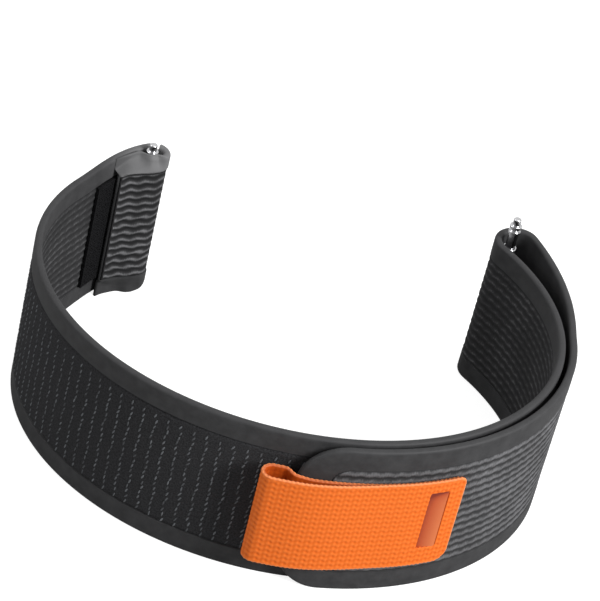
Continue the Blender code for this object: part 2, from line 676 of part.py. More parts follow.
def plunger_profile(barrel_half):
    """Tip, two flanges with a groove between them, shaft, and the head that the lip keeps in."""
    top = barrel_half + PLUNGER_SHOWING
    upper = top - TIP_LENGTH
    groove_top = upper - FLANGE_LENGTH
    groove_bottom = groove_top - GROOVE_LENGTH
    lower = groove_bottom - FLANGE_LENGTH
    head_top = barrel_half - BARREL_LIP_LENGTH - PLUNGER_END_PLAY
    head_bottom = head_top - PLUNGER_HEAD_LENGTH
    return [
        (0, top), (TIP_RADIUS - TIP_CHAMFER, top), (TIP_RADIUS, top - TIP_CHAMFER),
        (TIP_RADIUS, upper), (FLANGE_RADIUS, upper), (FLANGE_RADIUS, groove_top),
        (GROOVE_RADIUS, groove_top), (GROOVE_RADIUS, groove_bottom),
        (FLANGE_RADIUS, groove_bottom), (FLANGE_RADIUS, lower),
        (PLUNGER_RADIUS, lower), (PLUNGER_RADIUS, head_top),
        (PLUNGER_HEAD_RADIUS, head_top), (PLUNGER_HEAD_RADIUS, head_bottom), (0, head_bottom),
    ]


def spring_curve(name, length, place):
    """A coil of round wire that fills the barrel between the two plunger heads."""
    wind_radius = PLUNGER_HEAD_RADIUS - SPRING_WIRE_RADIUS
    rise = length - 2 * SPRING_WIRE_RADIUS - 2 * PLUNGER_END_PLAY
    count = SPRING_TURNS * SPRING_POINTS_PER_TURN
    curve = bpy.data.curves.new(name, "CURVE")
    curve.dimensions = "3D"
    curve.bevel_depth = SPRING_WIRE_RADIUS
    curve.bevel_resolution = 1
    curve.use_fill_caps = True
    spline = curve.splines.new("POLY")
    spline.points.add(count)
    for step, point in enumerate(spline.points):
        turn = 2 * math.pi * step / SPRING_POINTS_PER_TURN
        height = rise * (step / count - 1 / 2)
        point.co = (wind_radius * math.cos(turn), wind_radius * math.sin(turn), height, 1)
    piece = bpy.data.objects.new(name, curve)
    parts.objects.link(piece)
    piece.location = place
    pitch_gap = rise / SPRING_TURNS - 2 * SPRING_WIRE_RADIUS
    print(name, "least gap between turns in mm:", round(pitch_gap * MM_PER_METRE, 3))
    return piece


def spring_bar(side, plan, lift, arm):
    """One spring bar: a spinning barrel with a spring inside and a sliding plunger at each end."""
    barrel_half = BAR_LENGTH / 2 - PLUNGER_SHOWING
    middle = Vector((plan[0], plan[1], lift + BAR_LENGTH / 2))
    spin = holder(side + "_bar_spin_axis", middle, arm)
    barrel = turned(side + "_bar_barrel", barrel_profile(barrel_half), middle)
    finish(barrel, "polished_steel", STEEL, spin)
    inner_half = barrel_half - BARREL_LIP_LENGTH - PLUNGER_END_PLAY - PLUNGER_HEAD_LENGTH
    spring = spring_curve(side + "_bar_spring", 2 * inner_half, middle)
    finish(spring, "spring_steel", SPRING_STEEL, spin)
    upper = plunger_profile(barrel_half)
    lower = [(radius, -height) for radius, height in reversed(upper)]
    for end, profile in (("upper", upper), ("lower", lower)):
        slide = holder(side + "_" + end + "_slide_axis", middle, spin)
        plunger = turned(side + "_bar_" + end + "_plunger", profile, middle)
        finish(plunger, "polished_steel", STEEL, slide)


def joint_places():
    """World places of the joints that bend or peel the cloth, before the strap is centred."""
    half = HALF_THICKNESS
    tab_face = -(half + 2 * WEBBING_BED + 2 * WEBBING_THICKNESS)
    return {
        "left_flex": STRAP.place(left_flex, STRAP_WIDTH / 2, 0),
        "right_flex": STRAP.place(return_flex, STRAP_WIDTH / 2, 0),
        "flap_hinge": STRAP.place(flap_hinge, STRAP_WIDTH / 2, -half),
        "tab_hinge": STRAP.place(tab_hinge, STRAP_WIDTH / 2, tab_face),
        "tail_hinge": STRAP.place(tail_hinge, STRAP_WIDTH / 2, half),
    }


def centre_on_origin(root):
    """Move the whole strap so that its box stands centred on the origin."""
    depsgraph = bpy.context.evaluated_depsgraph_get()
    corners = []
    for piece in parts.objects:
        if piece.type == "EMPTY":
            continue
        evaluated = piece.evaluated_get(depsgraph)
        mesh = evaluated.to_mesh()
        corners += [evaluated.matrix_world @ vertex.co for vertex in mesh.vertices]
        evaluated.to_mesh_clear()
    cloud = np.array(corners)
    low, high = cloud.min(axis=0), cloud.max(axis=0)
    middle = (low + high) / 2
    root.location = (-middle[0], -middle[1], -low[2])
    bpy.context.view_layer.update()
    print("box in mm:", np.round((high - low) * MM_PER_METRE, 2))
    print("oval centre in mm:", np.round(np.array(root.location) * MM_PER_METRE, 4))


def build():
    places = joint_places()
    root = holder("strap_frame")
    left_arm = holder("left_flex_axis", places["left_flex"], root)
    right_arm = holder("right_flex_axis", places["right_flex"], root)
    flap = holder("flap_hinge_axis", places["flap_hinge"], root)
    tab = holder("tab_hinge_axis", places["tab_hinge"], flap)
    tail = holder("tail_hinge_axis", places["tail_hinge"], left_arm)
    front_pieces(root)
    return_pieces(root)
    left_arm_pieces(left_arm)
    left_tail_pieces(tail)
    right_arm_pieces(right_arm)
    flap_pieces(flap)
    tab_loop(tab)
    tab_end_pieces(flap)
    spring_bar("left", LEFT_BAR_PLAN, LEFT_BAR_LIFT, left_arm)
    spring_bar("right", RIGHT_BAR_PLAN, RIGHT_BAR_LIFT, right_arm)
    bpy.context.view_layer.update()
    centre_on_origin(root)
    for empty in parts.objects:
        if empty.type == "EMPTY":
            place = [round(value * MM_PER_METRE, 4) for value in empty.matrix_world.translation]
            print(empty.name, "at mm:", place)
    print("strap length from tail to tongue in mm:", round((flap_tip - tail_tip) * MM_PER_METRE, 1))


build()
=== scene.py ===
import json
import math

import bpy
import numpy as np
from mathutils import Matrix, Vector


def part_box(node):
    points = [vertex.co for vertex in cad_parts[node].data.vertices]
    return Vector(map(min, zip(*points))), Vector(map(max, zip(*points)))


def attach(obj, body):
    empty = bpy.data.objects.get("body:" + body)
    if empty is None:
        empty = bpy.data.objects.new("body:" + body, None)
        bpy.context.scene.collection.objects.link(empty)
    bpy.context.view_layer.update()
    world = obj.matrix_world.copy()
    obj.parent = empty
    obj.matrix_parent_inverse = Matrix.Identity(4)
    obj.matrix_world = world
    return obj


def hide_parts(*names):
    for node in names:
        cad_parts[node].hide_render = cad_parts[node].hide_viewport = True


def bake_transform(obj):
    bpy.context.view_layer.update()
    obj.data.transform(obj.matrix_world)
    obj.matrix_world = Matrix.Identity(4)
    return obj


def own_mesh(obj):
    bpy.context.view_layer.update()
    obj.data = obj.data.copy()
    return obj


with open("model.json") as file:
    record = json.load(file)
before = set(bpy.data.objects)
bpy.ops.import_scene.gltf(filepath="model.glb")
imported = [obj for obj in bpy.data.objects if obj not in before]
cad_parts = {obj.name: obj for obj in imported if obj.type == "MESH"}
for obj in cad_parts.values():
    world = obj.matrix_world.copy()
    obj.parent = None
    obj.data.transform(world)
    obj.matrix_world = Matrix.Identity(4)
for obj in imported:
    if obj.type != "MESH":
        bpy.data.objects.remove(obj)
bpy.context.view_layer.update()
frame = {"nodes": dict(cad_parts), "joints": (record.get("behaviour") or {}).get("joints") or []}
print("frame loaded:", len(frame["nodes"]), "nodes")
mm = 0.001

# The strap's own sizes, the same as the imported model's. Lengths are in metres.
strap = {
    "width": 22.0 * mm, "thickness": 0.95 * mm,
    "ovalHalfWidth": 32.4 * mm, "ovalHalfDepth": 27.2 * mm,
    "leftBar": math.radians(134.1), "leftFlex": math.radians(180.0), "front": math.radians(270.0),
    "flapHinge": math.radians(320.0), "rightFlex": math.radians(361.0), "rightBar": math.radians(404.8),
    "layerGap": 0.55 * mm,
    "leftSwell": 1.9 * mm, "leftSwellLength": 12.2 * mm,
    "leftBore": 1.02 * mm, "rightBore": 2.2 * mm,
    "leftReachShare": 1.15, "rightReachShare": 0.94,
    "leftSquareness": 0.85, "rightSquareness": 1.0,
    "openingLength": 17.8 * mm, "openingPower": 1.3,
    "panelBorder": 2.9 * mm,
    "tailLength": 5.4 * mm, "tailHingeRun": 1.2 * mm, "tailGap": 0.55 * mm,
    "flapLength": 23.7 * mm, "tongueRadius": 5.8 * mm,
    "softness": 0.30 * mm,
}
margins = {"padStart": 6.2 * mm, "padEnd": 2.8 * mm, "panelEnd": 4.0 * mm,
           "fieldStart": 6.0 * mm, "fieldEnd": 0.6 * mm, "liningStart": 1.4 * mm}
# How finely the cloth's line is drawn: angles in degrees, and steps
fine = {"firstAngle": 60.0, "lastAngle": 480.0, "degrees": 0.25, "run": 0.05 * mm, "foldSteps": 72,
        "tabPoints": 160, "tabFoldSteps": 40, "closestLines": 0.004 * mm}
half = strap["thickness"] / 2
width = strap["width"]


def smoothShare(share):
    share = np.clip(share, 0.0, 1.0)
    return share * share * (3.0 - 2.0 * share)


def between(first, last, share):
    return first + (last - first) * share


def cornerCut(radius, distance):
    # how far a rounded corner is cut back at this distance from its end
    return radius - np.sqrt(radius ** 2 - np.clip(radius - distance, 0.0, radius) ** 2)


def ovalPoint(angle, offset):
    # the wrist oval at ellipse angles, moved out along its normal
    cosine, sine = np.cos(angle), np.sin(angle)
    normal = np.stack((strap["ovalHalfDepth"] * cosine, strap["ovalHalfWidth"] * sine), -1)
    normal /= np.linalg.norm(normal, axis=-1)[..., None]
    on = np.stack((strap["ovalHalfWidth"] * cosine, strap["ovalHalfDepth"] * sine), -1)
    return on + normal * np.asarray(offset)[..., None]


def runsTo(points):
    # the length along a line up to each of its points
    return np.concatenate(([0.0], np.cumsum(np.linalg.norm(np.diff(points, axis=0), axis=1))))


ovalAngles = np.radians(np.arange(fine["firstAngle"], fine["lastAngle"], fine["degrees"]))
ovalRuns = runsTo(ovalPoint(ovalAngles, 0.0 * ovalAngles))


def runAt(angle):
    return np.interp(angle, ovalAngles, ovalRuns)


def angleAt(run):
    return np.interp(run, ovalRuns, ovalAngles)


def angleRange(first, last):
    return np.linspace(first, last, 2 + int(abs(last - first) / math.radians(fine["degrees"])))


def leftSwell(angle):
    # the band stands off the oval to make room for the left bar
    distance = runAt(angle) - runAt(strap["leftBar"])
    return strap["leftSwell"] * smoothShare(1.0 - distance / strap["leftSwellLength"])


def tailGap(distance):
    # the gap under the tail, this far from its turn: opened for the left bar
    opened = smoothShare(1.0 - distance / strap["tailLength"])
    return between(strap["tailGap"], 2 * strap["leftBore"], opened)


def tailOffset(angle):
    return leftSwell(angle) - tailGap(runAt(angle) - runAt(strap["leftBar"])) - half


def returnOffset(angle):
    distance = runAt(strap["rightBar"]) - runAt(angle)
    opened = np.clip(1.0 - distance / strap["openingLength"], 0.0, 1.0) ** strap["openingPower"]
    return strap["thickness"] + between(strap["layerGap"], 2 * strap["rightBore"], opened) + half


def foldPoints(side, centreOffset, travel):
    # half a turn round a bar, from the wrist side out; squareness under 1 fills out its corners
    angle, squareness = strap[side + "Bar"], strap[side + "Squareness"]
    centre = ovalPoint(angle, centreOffset)
    outward = ovalPoint(angle, centreOffset + strap[side + "Bore"] + half) - centre
    ahead = travel * strap[side + "ReachShare"] * np.array((-outward[1], outward[0]))
    turns = math.pi * np.arange(1, fine["foldSteps"]) / fine["foldSteps"]
    across = np.sign(np.cos(turns)) * np.abs(np.cos(turns)) ** squareness
    along = np.sin(turns) ** squareness
    return centre - across[:, None] * outward + along[:, None] * ahead


class ClothPath:
    # a line in plan that flat cloth is bent along; its normal is on the right hand of the travel
    def __init__(self, points, softness=strap["softness"], step=fine["run"]):
        self.pointRuns = runsTo(points)
        self.run = np.arange(0.0, self.pointRuns[-1], step)
        plan = np.column_stack([np.interp(self.run, self.pointRuns, line) for line in points.T])
        reach = int(3 * softness / step)
        weights = np.exp(-0.5 * (np.arange(-reach, reach + 1) * step / softness) ** 2)
        before = 2 * plan[0] - plan[reach:0:-1]
        after = 2 * plan[-1] - plan[-2:-reach - 2:-1]
        padded = np.concatenate((before, plan, after))
        weights /= weights.sum()
        self.plan = np.column_stack([np.convolve(line, weights, "valid") for line in padded.T])
        tangent = np.gradient(self.plan, axis=0)
        tangent /= np.linalg.norm(tangent, axis=1)[:, None]
        self.normal = np.column_stack((tangent[:, 1], -tangent[:, 0]))

    def place(self, along, up, out):
        along, up, out = np.broadcast_arrays(along, up, out)
        x, y, normalX, normalY = (
            np.interp(along, self.run, line) for line in (*self.plan.T, *self.normal.T))
        length = np.hypot(normalX, normalY)
        return np.stack((x + out * normalX / length, y + out * normalY / length, up), -1)


flexPlace = next(joint for joint in frame["joints"] if joint["name"] == "left_arm_flex")["pos_m"]
ovalCentre = np.array((flexPlace[0] + strap["ovalHalfWidth"] + half, flexPlace[1]))

hookTape = {"width": 6.6 * mm, "showing": 3.3 * mm, "thickness": 0.35 * mm, "bed": 0.08 * mm,
            "hookPitch": 0.42 * mm, "hookHeight": 0.16 * mm, "hookRadius": 0.09 * mm,
            "rowStep": 0.4 * mm, "columns": 36, "ripple": 0.02 * mm, "scatter": 0.05 * mm,
            "border": 0.2 * mm, "hookSides": 5}
tab = {"width": 13.3 * mm, "rise": 0.3 * mm, "overhang": 4.2 * mm, "hingeMargin": 3.25 * mm,
       "endLength": 6.4 * mm, "thickness": 0.50 * mm, "bed": 0.10 * mm, "bow": 0.95 * mm,
       "bowLength": 12.0 * mm, "stepLength": 1.3 * mm, "liftOffBand": 0.75 * mm,
       "topRadius": 1.0 * mm, "bottomRadius": 1.9 * mm, "edgeRadius": 0.22 * mm, "scallop": 0.035 * mm,
       "rowPitch": 0.739 * mm, "columnPitch": 0.555 * mm, "relief": 0.13 * mm, "gridStep": 0.1 * mm,
       "innerLower": 0.5 * mm, "innerLowerFrom": 3.5 * mm, "innerLowerLength": 4.0 * mm,
       "wornWidth": 0.26 * mm, "smoothRim": 0.3 * mm, "innerShare": 0.4, "softness": 0.2 * mm}

tailFar = angleAt(runAt(strap["leftBar"]) + strap["tailLength"] + hookTape["width"])
returnFar = angleAt(
    runAt(strap["flapHinge"]) - strap["flapLength"] - tab["overhang"] - strap["openingLength"])
tailAngles = angleRange(tailFar, strap["leftBar"])
bandAngles = angleRange(strap["leftBar"], strap["rightBar"])
returnAngles = angleRange(strap["rightBar"], returnFar)
leftFold = foldPoints("left", strap["leftSwell"] - strap["leftBore"], -1)
rightFold = foldPoints("right", strap["thickness"] + strap["rightBore"], 1)
strapPath = ClothPath(ovalCentre + np.concatenate((
    ovalPoint(tailAngles, tailOffset(tailAngles)), leftFold,
    ovalPoint(bandAngles, half + leftSwell(bandAngles)), rightFold,
    ovalPoint(returnAngles, returnOffset(returnAngles)))))
bandFirst = len(tailAngles) + len(leftFold)
returnFirst = bandFirst + len(bandAngles) + len(rightFold)
bandRuns = strapPath.pointRuns[bandFirst:bandFirst + len(bandAngles)]
returnRuns = strapPath.pointRuns[returnFirst:returnFirst + len(returnAngles)]


def bandAt(angle):
    return float(np.interp(angle, bandAngles, bandRuns))


def returnAt(angle):
    return float(np.interp(angle, returnAngles[::-1], returnRuns[::-1]))


# Marks along the cloth, from the tail to the tongue
tailTurn = float(strapPath.pointRuns[len(tailAngles) - 1])
tailHinge = tailTurn - strap["tailHingeRun"]
tailTip = tailTurn - strap["tailLength"]
leftFoot = bandAt(strap["leftBar"])
leftFoldMiddle = (tailTurn + leftFoot) / 2
leftFlex = bandAt(strap["leftFlex"])
leftSplit = (leftFoot + leftFlex) / 2
frontSplit = bandAt(strap["front"])
rightFlex = bandAt(strap["rightFlex"])
rightFoot = bandAt(strap["rightBar"])
rightInSplit = (rightFlex + rightFoot) / 2
returnFoot = float(returnRuns[0])
rightLoop = (rightFoot + returnFoot) / 2
returnFlex = returnAt(strap["rightFlex"])
rightOutSplit = (returnFoot + returnFlex) / 2
flapHinge = returnAt(strap["flapHinge"])
returnSplit = (returnFlex + flapHinge) / 2
flapTip = flapHinge + strap["flapLength"]
padStart = flapHinge + margins["padStart"]
padEnd = flapTip - margins["padEnd"]
flapPanelEnd = flapTip - margins["panelEnd"]
tabEnd = flapHinge + tab["hingeMargin"]
tabHinge = tabEnd + tab["endLength"]
fieldStart = leftFoot + margins["fieldStart"]
fieldEnd = bandAt(float(np.interp(padStart, returnRuns, returnAngles))) + margins["fieldEnd"]
liningStart = bandAt(angleAt(runAt(strap["leftBar"]) + margins["liningStart"]))

# Where the cloth bends: the bodies before and after, the mark and half the bend's length
bends = {
    "tail": ("left_tail", "left_arm", tailHinge, 1.1 * mm),
    "left": ("left_arm", "front", leftFlex, 6.0 * mm),
    "right": ("front", "right_arm", rightFlex, 6.0 * mm),
    "return": ("right_arm", "front", returnFlex, 6.0 * mm),
    "flap": ("front", "flap", flapHinge, 2.6 * mm),
    "tab": ("flap", "pull_tab", tabHinge, 1.8 * mm),
}
print("cloth laid out:", round((flapTip - tailTip) / mm, 1), "mm from tail to tongue")


def fromHex(text):
    # an sRGB hex colour as linear red, green, blue and alpha
    shares = [int(text[place:place + 2], 16) / 255 for place in (1, 3, 5)]
    return [*(share / 12.92 if share <= 0.04045 else ((share + 0.055) / 1.055) ** 2.4
              for share in shares), 1.0]


class NodeTree:
    # the nodes of a material or of the world; each method that adds one gives its output
    def __init__(self, owner):
        owner.use_nodes = True
        self.owner, self.nodes, self.links = owner, owner.node_tree.nodes, owner.node_tree.links

    def add(self, kind, settings=(), inputs=(), output=0):
        # its settings by attribute or socket name, its linked inputs by socket
        node = self.nodes.new(kind)
        for key, value in dict(settings).items():
            if isinstance(key, str) and hasattr(node, key):
                setattr(node, key, value)
            else:
                node.inputs[key].default_value = value
        for socket, source in dict(inputs).items():
            self.links.new(source, node.inputs[socket])
        return node.outputs[output]

    def change(self, name, settings, inputs=()):
        # plain and linked values of a node that is there already
        node = self.nodes[name]
        for socket, value in settings.items():
            node.inputs[socket].default_value = value
        for socket, source in dict(inputs).items():
            self.links.new(source, node.inputs[socket])
        return self.owner

    def stored(self, name, output="Fac"):
        # a value that each point of the mesh carries
        return self.add("ShaderNodeAttribute", {"attribute_name": name}, (), output)

    def noise(self, size, detail, roughness=0.5, place=None):
        # soft random patches, over the flat cloth unless another place is given
        return self.add("ShaderNodeTexNoise", {
            "Scale": 1 / size, "Detail": detail, "Roughness": roughness}, {
            "Vector": place or self.stored("clothPlace", "Vector")}, "Fac")

    def stretched(self, settings):
        # the places on the flat cloth, turned and scaled
        return self.add("ShaderNodeMapping", settings, {"Vector": self.stored("clothPlace", "Vector")})

    def math(self, operation, *values):
        # its numbers are set and its sockets linked
        numbers = {index: value for index, value in enumerate(values) if isinstance(value, float)}
        sockets = {index: value for index, value in enumerate(values) if index not in numbers}
        return self.add("ShaderNodeMath", {"operation": operation, **numbers}, sockets)

    def ramp(self, level, *stops):
        # a colour that runs through the stops as the level rises
        output = self.add("ShaderNodeValToRGB", (), {"Fac": level})
        elements = output.node.color_ramp.elements
        while len(elements) < len(stops):
            elements.new(0.5)
        for element, (position, colour) in zip(elements, stops):
            element.position = position
            element.color = fromHex(colour)
        return output

    def mixed(self, share, colour, over):
        # a share of one colour over another
        return self.add("ShaderNodeMix", {"data_type": "RGBA", 7: fromHex(over)},
                        {0: share, 6: colour}, 2)

    def bump(self, height, strength, distance):
        settings = {"Strength": strength, "Distance": distance}
        return self.add("ShaderNodeBump", settings, {"Height": height})

    def spread(self, level, low, high):
        # the level, spread from low to high
        return self.add("ShaderNodeMapRange", {"To Min": low, "To Max": high}, {"Value": level})


pressed = {"dark": "#303031", "light": "#3B3B3C", "rim": "#3A3A3B", "paintedHighlight": "#6C6C6D",
           "mottleSize": 1.6, "grainSize": 0.16, "paintedHighlightLength": 13.0 * mm, "paintedHighlightFade": 3.0 * mm}


def pressedNylonMaterial():
    # woven nylon pressed flat with heat: nearly smooth, a soft satin with faint mottling, a worn rim,
    # and a painted highlight: a paler colour along the upper border where the left end is pressed
    # hardest and the light falls on it
    tree = NodeTree(bpy.data.materials.new("heat_pressed_nylon"))
    mottle = tree.noise(pressed["mottleSize"], 4.0, 0.6)
    grain = tree.noise(pressed["grainSize"], 2.0)
    colour = tree.ramp(mottle, (0.35, pressed["dark"]), (0.68, pressed["light"]))
    colour = tree.mixed(tree.math("MULTIPLY", tree.stored("edge"), grain), colour, pressed["rim"])
    return tree.change("Principled BSDF", {"IOR": 1.53, "Specular IOR Level": 0.16}, {
        "Base Color": tree.mixed(tree.stored("raised"), colour, pressed["paintedHighlight"]),
        "Roughness": tree.spread(mottle, 0.50, 0.68),
        "Normal": tree.bump(grain, 0.22, 0.03 * mm)})


ribbed = {"valley": "#202021", "middle": "#353536", "crest": "#6C6C6E",
          "yarnSize": 0.14, "patchSize": 5.0}


def ribbedNylonMaterial():
    # woven nylon with raised wavy cords: grooves painted dark as painted shade, crests paler partly
    # from wear and partly as a painted highlight, the yarns showing across each
    tree = NodeTree(bpy.data.materials.new("ribbed_woven_nylon"))
    slant = tree.stretched({"Rotation": (0.0, 0.0, math.radians(32.0)), "Scale": (1.0, 0.35, 1.0)})
    yarn = tree.noise(ribbed["yarnSize"], 1.0, place=slant)
    lift = tree.math("MULTIPLY_ADD", yarn, 0.35, tree.stored("raised"))
    level = tree.math("MULTIPLY_ADD", tree.noise(ribbed["patchSize"], 3.0), 0.30, lift)
    colour = tree.ramp(tree.math("MULTIPLY", level, 0.72),
                       (0.40, ribbed["valley"]), (0.70, ribbed["middle"]), (0.93, ribbed["crest"]))
    return tree.change("Principled BSDF", {"IOR": 1.53, "Roughness": 0.8, "Specular IOR Level": 0.1}, {
        "Base Color": colour, "Normal": tree.bump(yarn, 0.45, 0.05 * mm)})


pile = {"dark": "#202021", "light": "#3A3A3C", "dash": "#66696C", "fuzzSize": 0.22}


def loopPileMaterial():
    # brushed loop pile: a soft near-black fuzz, with small grey woven dashes that catch the light
    tree = NodeTree(bpy.data.materials.new("brushed_loop_pile"))
    fuzz = tree.noise(pile["fuzzSize"], 4.0, 0.7)
    ground = tree.ramp(fuzz, (0.35, pile["dark"]), (0.7, pile["light"]))
    return tree.change("Principled BSDF", {"IOR": 1.53, "Roughness": 0.95, "Specular IOR Level": 0.1}, {
        "Base Color": tree.mixed(tree.stored("raised"), ground, pile["dash"]),
        "Normal": tree.bump(fuzz, 0.8, 0.1 * mm)})


hooks = {"dark": "#050505", "light": "#1E1E20", "fuzzSize": 0.12}


def hookTapeMaterial():
    # woven tape with tiny moulded hooks: black, matt and bristly
    tree = NodeTree(bpy.data.materials.new("black_hook_tape"))
    fuzz = tree.noise(hooks["fuzzSize"], 3.0)
    return tree.change("Principled BSDF", {"IOR": 1.5, "Roughness": 0.9, "Specular IOR Level": 0.1}, {
        "Base Color": tree.ramp(fuzz, (0.35, hooks["dark"]), (0.7, hooks["light"])),
        "Normal": tree.bump(fuzz, 0.7, 0.08 * mm)})


# the valley colour is painted shade between the yarns
orange = {"valley": "#9C3802", "side": "#CC5A10", "crest": "#DE6E26", "selvedge": "#E6A678",
          "fibreSize": 0.09}


def orangeWebbingMaterial():
    # tightly woven polyester webbing: bright orange yarns, deep orange painted between them as painted
    # shade, paler selvedges
    tree = NodeTree(bpy.data.materials.new("orange_polyester_webbing"))
    fibre = tree.noise(orange["fibreSize"], 2.0, place=tree.stretched({"Scale": (0.3, 1.0, 1.0)}))
    colour = tree.ramp(tree.math("MULTIPLY_ADD", fibre, 0.22, tree.stored("raised")),
                       (0.15, orange["valley"]), (0.5, orange["side"]), (0.95, orange["crest"]))
    return tree.change("Principled BSDF", {"IOR": 1.54, "Roughness": 0.65, "Specular IOR Level": 0.2}, {
        "Base Color": tree.mixed(tree.stored("edge"), colour, orange["selvedge"]),
        "Normal": tree.bump(fibre, 0.35, 0.03 * mm)})


insertColourAndShade = {"deep": "#741E02", "middle": "#A84418", "pale": "#C46A3A", "grainSize": 0.25}


def mouldedInsertMaterial():
    # moulded thermoplastic rubber: satin reddish orange, painted darker where its dished face is lowest
    # as painted shade in the hollow and paler where it is level, with a painted shadow line under its
    # top lip
    tree = NodeTree(bpy.data.materials.new("moulded_rubber_insert"))
    grain = tree.noise(insertColourAndShade["grainSize"], 3.0)
    colour = tree.ramp(tree.math("MULTIPLY_ADD", grain, 0.08, tree.stored("raised")),
                       (0.08, insertColourAndShade["deep"]), (0.4, insertColourAndShade["middle"]),
                       (1.0, insertColourAndShade["pale"]))
    return tree.change("Principled BSDF", {"IOR": 1.5, "Roughness": 0.42}, {
        "Base Color": colour, "Normal": tree.bump(grain, 0.12, 0.02 * mm)})


def steelMaterial(name, colour, rough, ringSize, ringStrength):
    # bare stainless steel: mirror-like, with fine rings left by the lathe or the drawing die
    tree = NodeTree(bpy.data.materials.new(name))
    place = tree.add("ShaderNodeTexCoord", output="Object")
    rings = tree.add("ShaderNodeTexWave", {
        "bands_direction": "Z", "Scale": 1 / ringSize, "Distortion": 0.6, "Detail": 1.0}, {
        "Vector": place}, "Fac")
    smudge = tree.noise(0.8 * mm, 3.0, place=place)
    return tree.change("Principled BSDF", {"Metallic": 1.0, "Base Color": fromHex(colour)}, {
        "Roughness": tree.spread(smudge, rough * 0.7, rough * 1.4),
        "Normal": tree.bump(rings, ringStrength, 0.004 * mm)})


finishes = {
    "pressed_nylon": pressedNylonMaterial(),
    "ribbed_nylon": ribbedNylonMaterial(),
    "loop_pile": loopPileMaterial(),
    "hook_tape": hookTapeMaterial(),
    "orange_webbing": orangeWebbingMaterial(),
    "moulded_grip": mouldedInsertMaterial(),
    "polished_steel": steelMaterial("polished_stainless_steel", "#C6C6C8", 0.16, 0.35 * mm, 0.1),
    "spring_steel": steelMaterial("drawn_spring_wire", "#A2A2A4", 0.28, 0.2 * mm, 0.2),
}
print("materials made:", len(finishes))


class MeshDraft:
    # points, their places on the flat cloth and their faces, gathered before one mesh is made of them
    def __init__(self):
        self.points, self.places, self.raised, self.edge = [], [], [], []
        self.loops, self.sizes = [], []
        self.count = 0

    def addPoints(self, points, places, raised, edge):
        index = self.count + np.arange(raised.size).reshape(raised.shape)
        self.points.append(points.reshape(-1, 3))
        self.places.append(places.reshape(-1, 3))
        self.raised.append(np.ravel(raised))
        self.edge.append(np.ravel(edge))
        self.count += raised.size
        return index

    def addFaces(self, faces):
        self.loops.append(faces.ravel())
        self.sizes.append(np.full(len(faces), faces.shape[1]))

    def addShell(self, plus, minus):
        # a closed shell between two grids of the same rows: plus is on the path's normal side
        plus, minus = self.addPoints(*plus), self.addPoints(*minus)
        for grid, order in ((plus, 1), (minus, -1)):
            quads = np.stack((grid[:-1, :-1], grid[1:, :-1], grid[1:, 1:], grid[:-1, 1:]), -1)
            self.addFaces(quads.reshape(-1, 4)[:, ::order])
        self.addFaces(np.stack((minus[:-1, 0], minus[1:, 0], plus[1:, 0], plus[:-1, 0]), -1))
        self.addFaces(np.stack((plus[:-1, -1], plus[1:, -1], minus[1:, -1], minus[:-1, -1]), -1))
        for row, order in ((0, 1), (-1, -1)):
            if plus.shape == minus.shape:
                strip = (plus[row, :-1], plus[row, 1:], minus[row, 1:], minus[row, :-1])
                self.addFaces(np.stack(strip, -1)[:, ::order])
            else:
                self.addFaces(np.concatenate((plus[row], minus[row, ::-1]))[None, ::order])

    def build(self, name):
        mesh = bpy.data.meshes.new(name)
        loops, sizes = np.concatenate(self.loops), np.concatenate(self.sizes)
        mesh.vertices.add(self.count)
        mesh.vertices.foreach_set("co", np.concatenate(self.points).ravel())
        mesh.loops.add(len(loops))
        mesh.loops.foreach_set("vertex_index", loops.astype(np.int32))
        mesh.polygons.add(len(sizes))
        mesh.polygons.foreach_set("loop_start", (np.cumsum(sizes) - sizes).astype(np.int32))
        mesh.update(calc_edges=True)
        place = mesh.attributes.new("clothPlace", "FLOAT_VECTOR", "POINT")
        place.data.foreach_set("vector", np.concatenate(self.places).ravel())
        for title, values in (("raised", self.raised), ("edge", self.edge)):
            stored = mesh.attributes.new(title, "FLOAT", "POINT")
            stored.data.foreach_set("value", np.concatenate(values))
        mesh.shade_smooth()
        mesh.set_sharp_from_angle(angle=math.radians(50.0))
        piece = bpy.data.objects.new(name, mesh)
        bpy.context.scene.collection.objects.link(piece)
        return piece


def clothGrid(along, up, out, raised=0.0, edge=0.0, path=strapPath):
    # one face of a piece of cloth: its points, flat places in mm, a tone from relief or pattern that
    # also carries painted light and shade, and worn edge
    along, up, out, raised, edge = np.broadcast_arrays(along, up, out, raised, edge)
    places = np.stack((along / mm, up / mm, 0.0 * up), -1)
    return path.place(along, up, out), places, np.array(raised, float), np.array(edge, float)


def gridLines(start, end, step, extras=()):
    # evenly spaced lines with some closer ones added
    lines = np.linspace(start, end, max(2, 1 + round((end - start) / step)))
    inside = [extra for extra in extras if start < extra < end]
    lines = np.sort(np.concatenate((lines, inside)))
    return lines[np.concatenate(([True], np.diff(lines) > fine["closestLines"]))]


def arcLines(radius, degrees):
    # lines close enough to draw a rounded corner, measured from its end
    return radius * (1.0 - np.sin(np.radians(np.arange(0.0, 90.0, degrees))))


def finishPiece(piece, slot, nodes, bodies):
    # its material, the imported nodes it stands for, and the body it moves with; a piece that crosses a
    # bend stays where it is
    piece.data.materials.append(finishes[slot])
    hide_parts(*nodes)
    if bodies in bends:
        before, after, mark, reach = bends[bodies]
        start, end = (Vector(strapPath.place(mark + way, width / 2, 0.0)) for way in (-reach, reach))
        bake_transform(piece)
    else:
        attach(piece, bodies)
    return piece


def shellPiece(name, plus, minus, *finish):
    draft = MeshDraft()
    draft.addShell(plus, minus)
    finishPiece(draft.build(name), *finish)


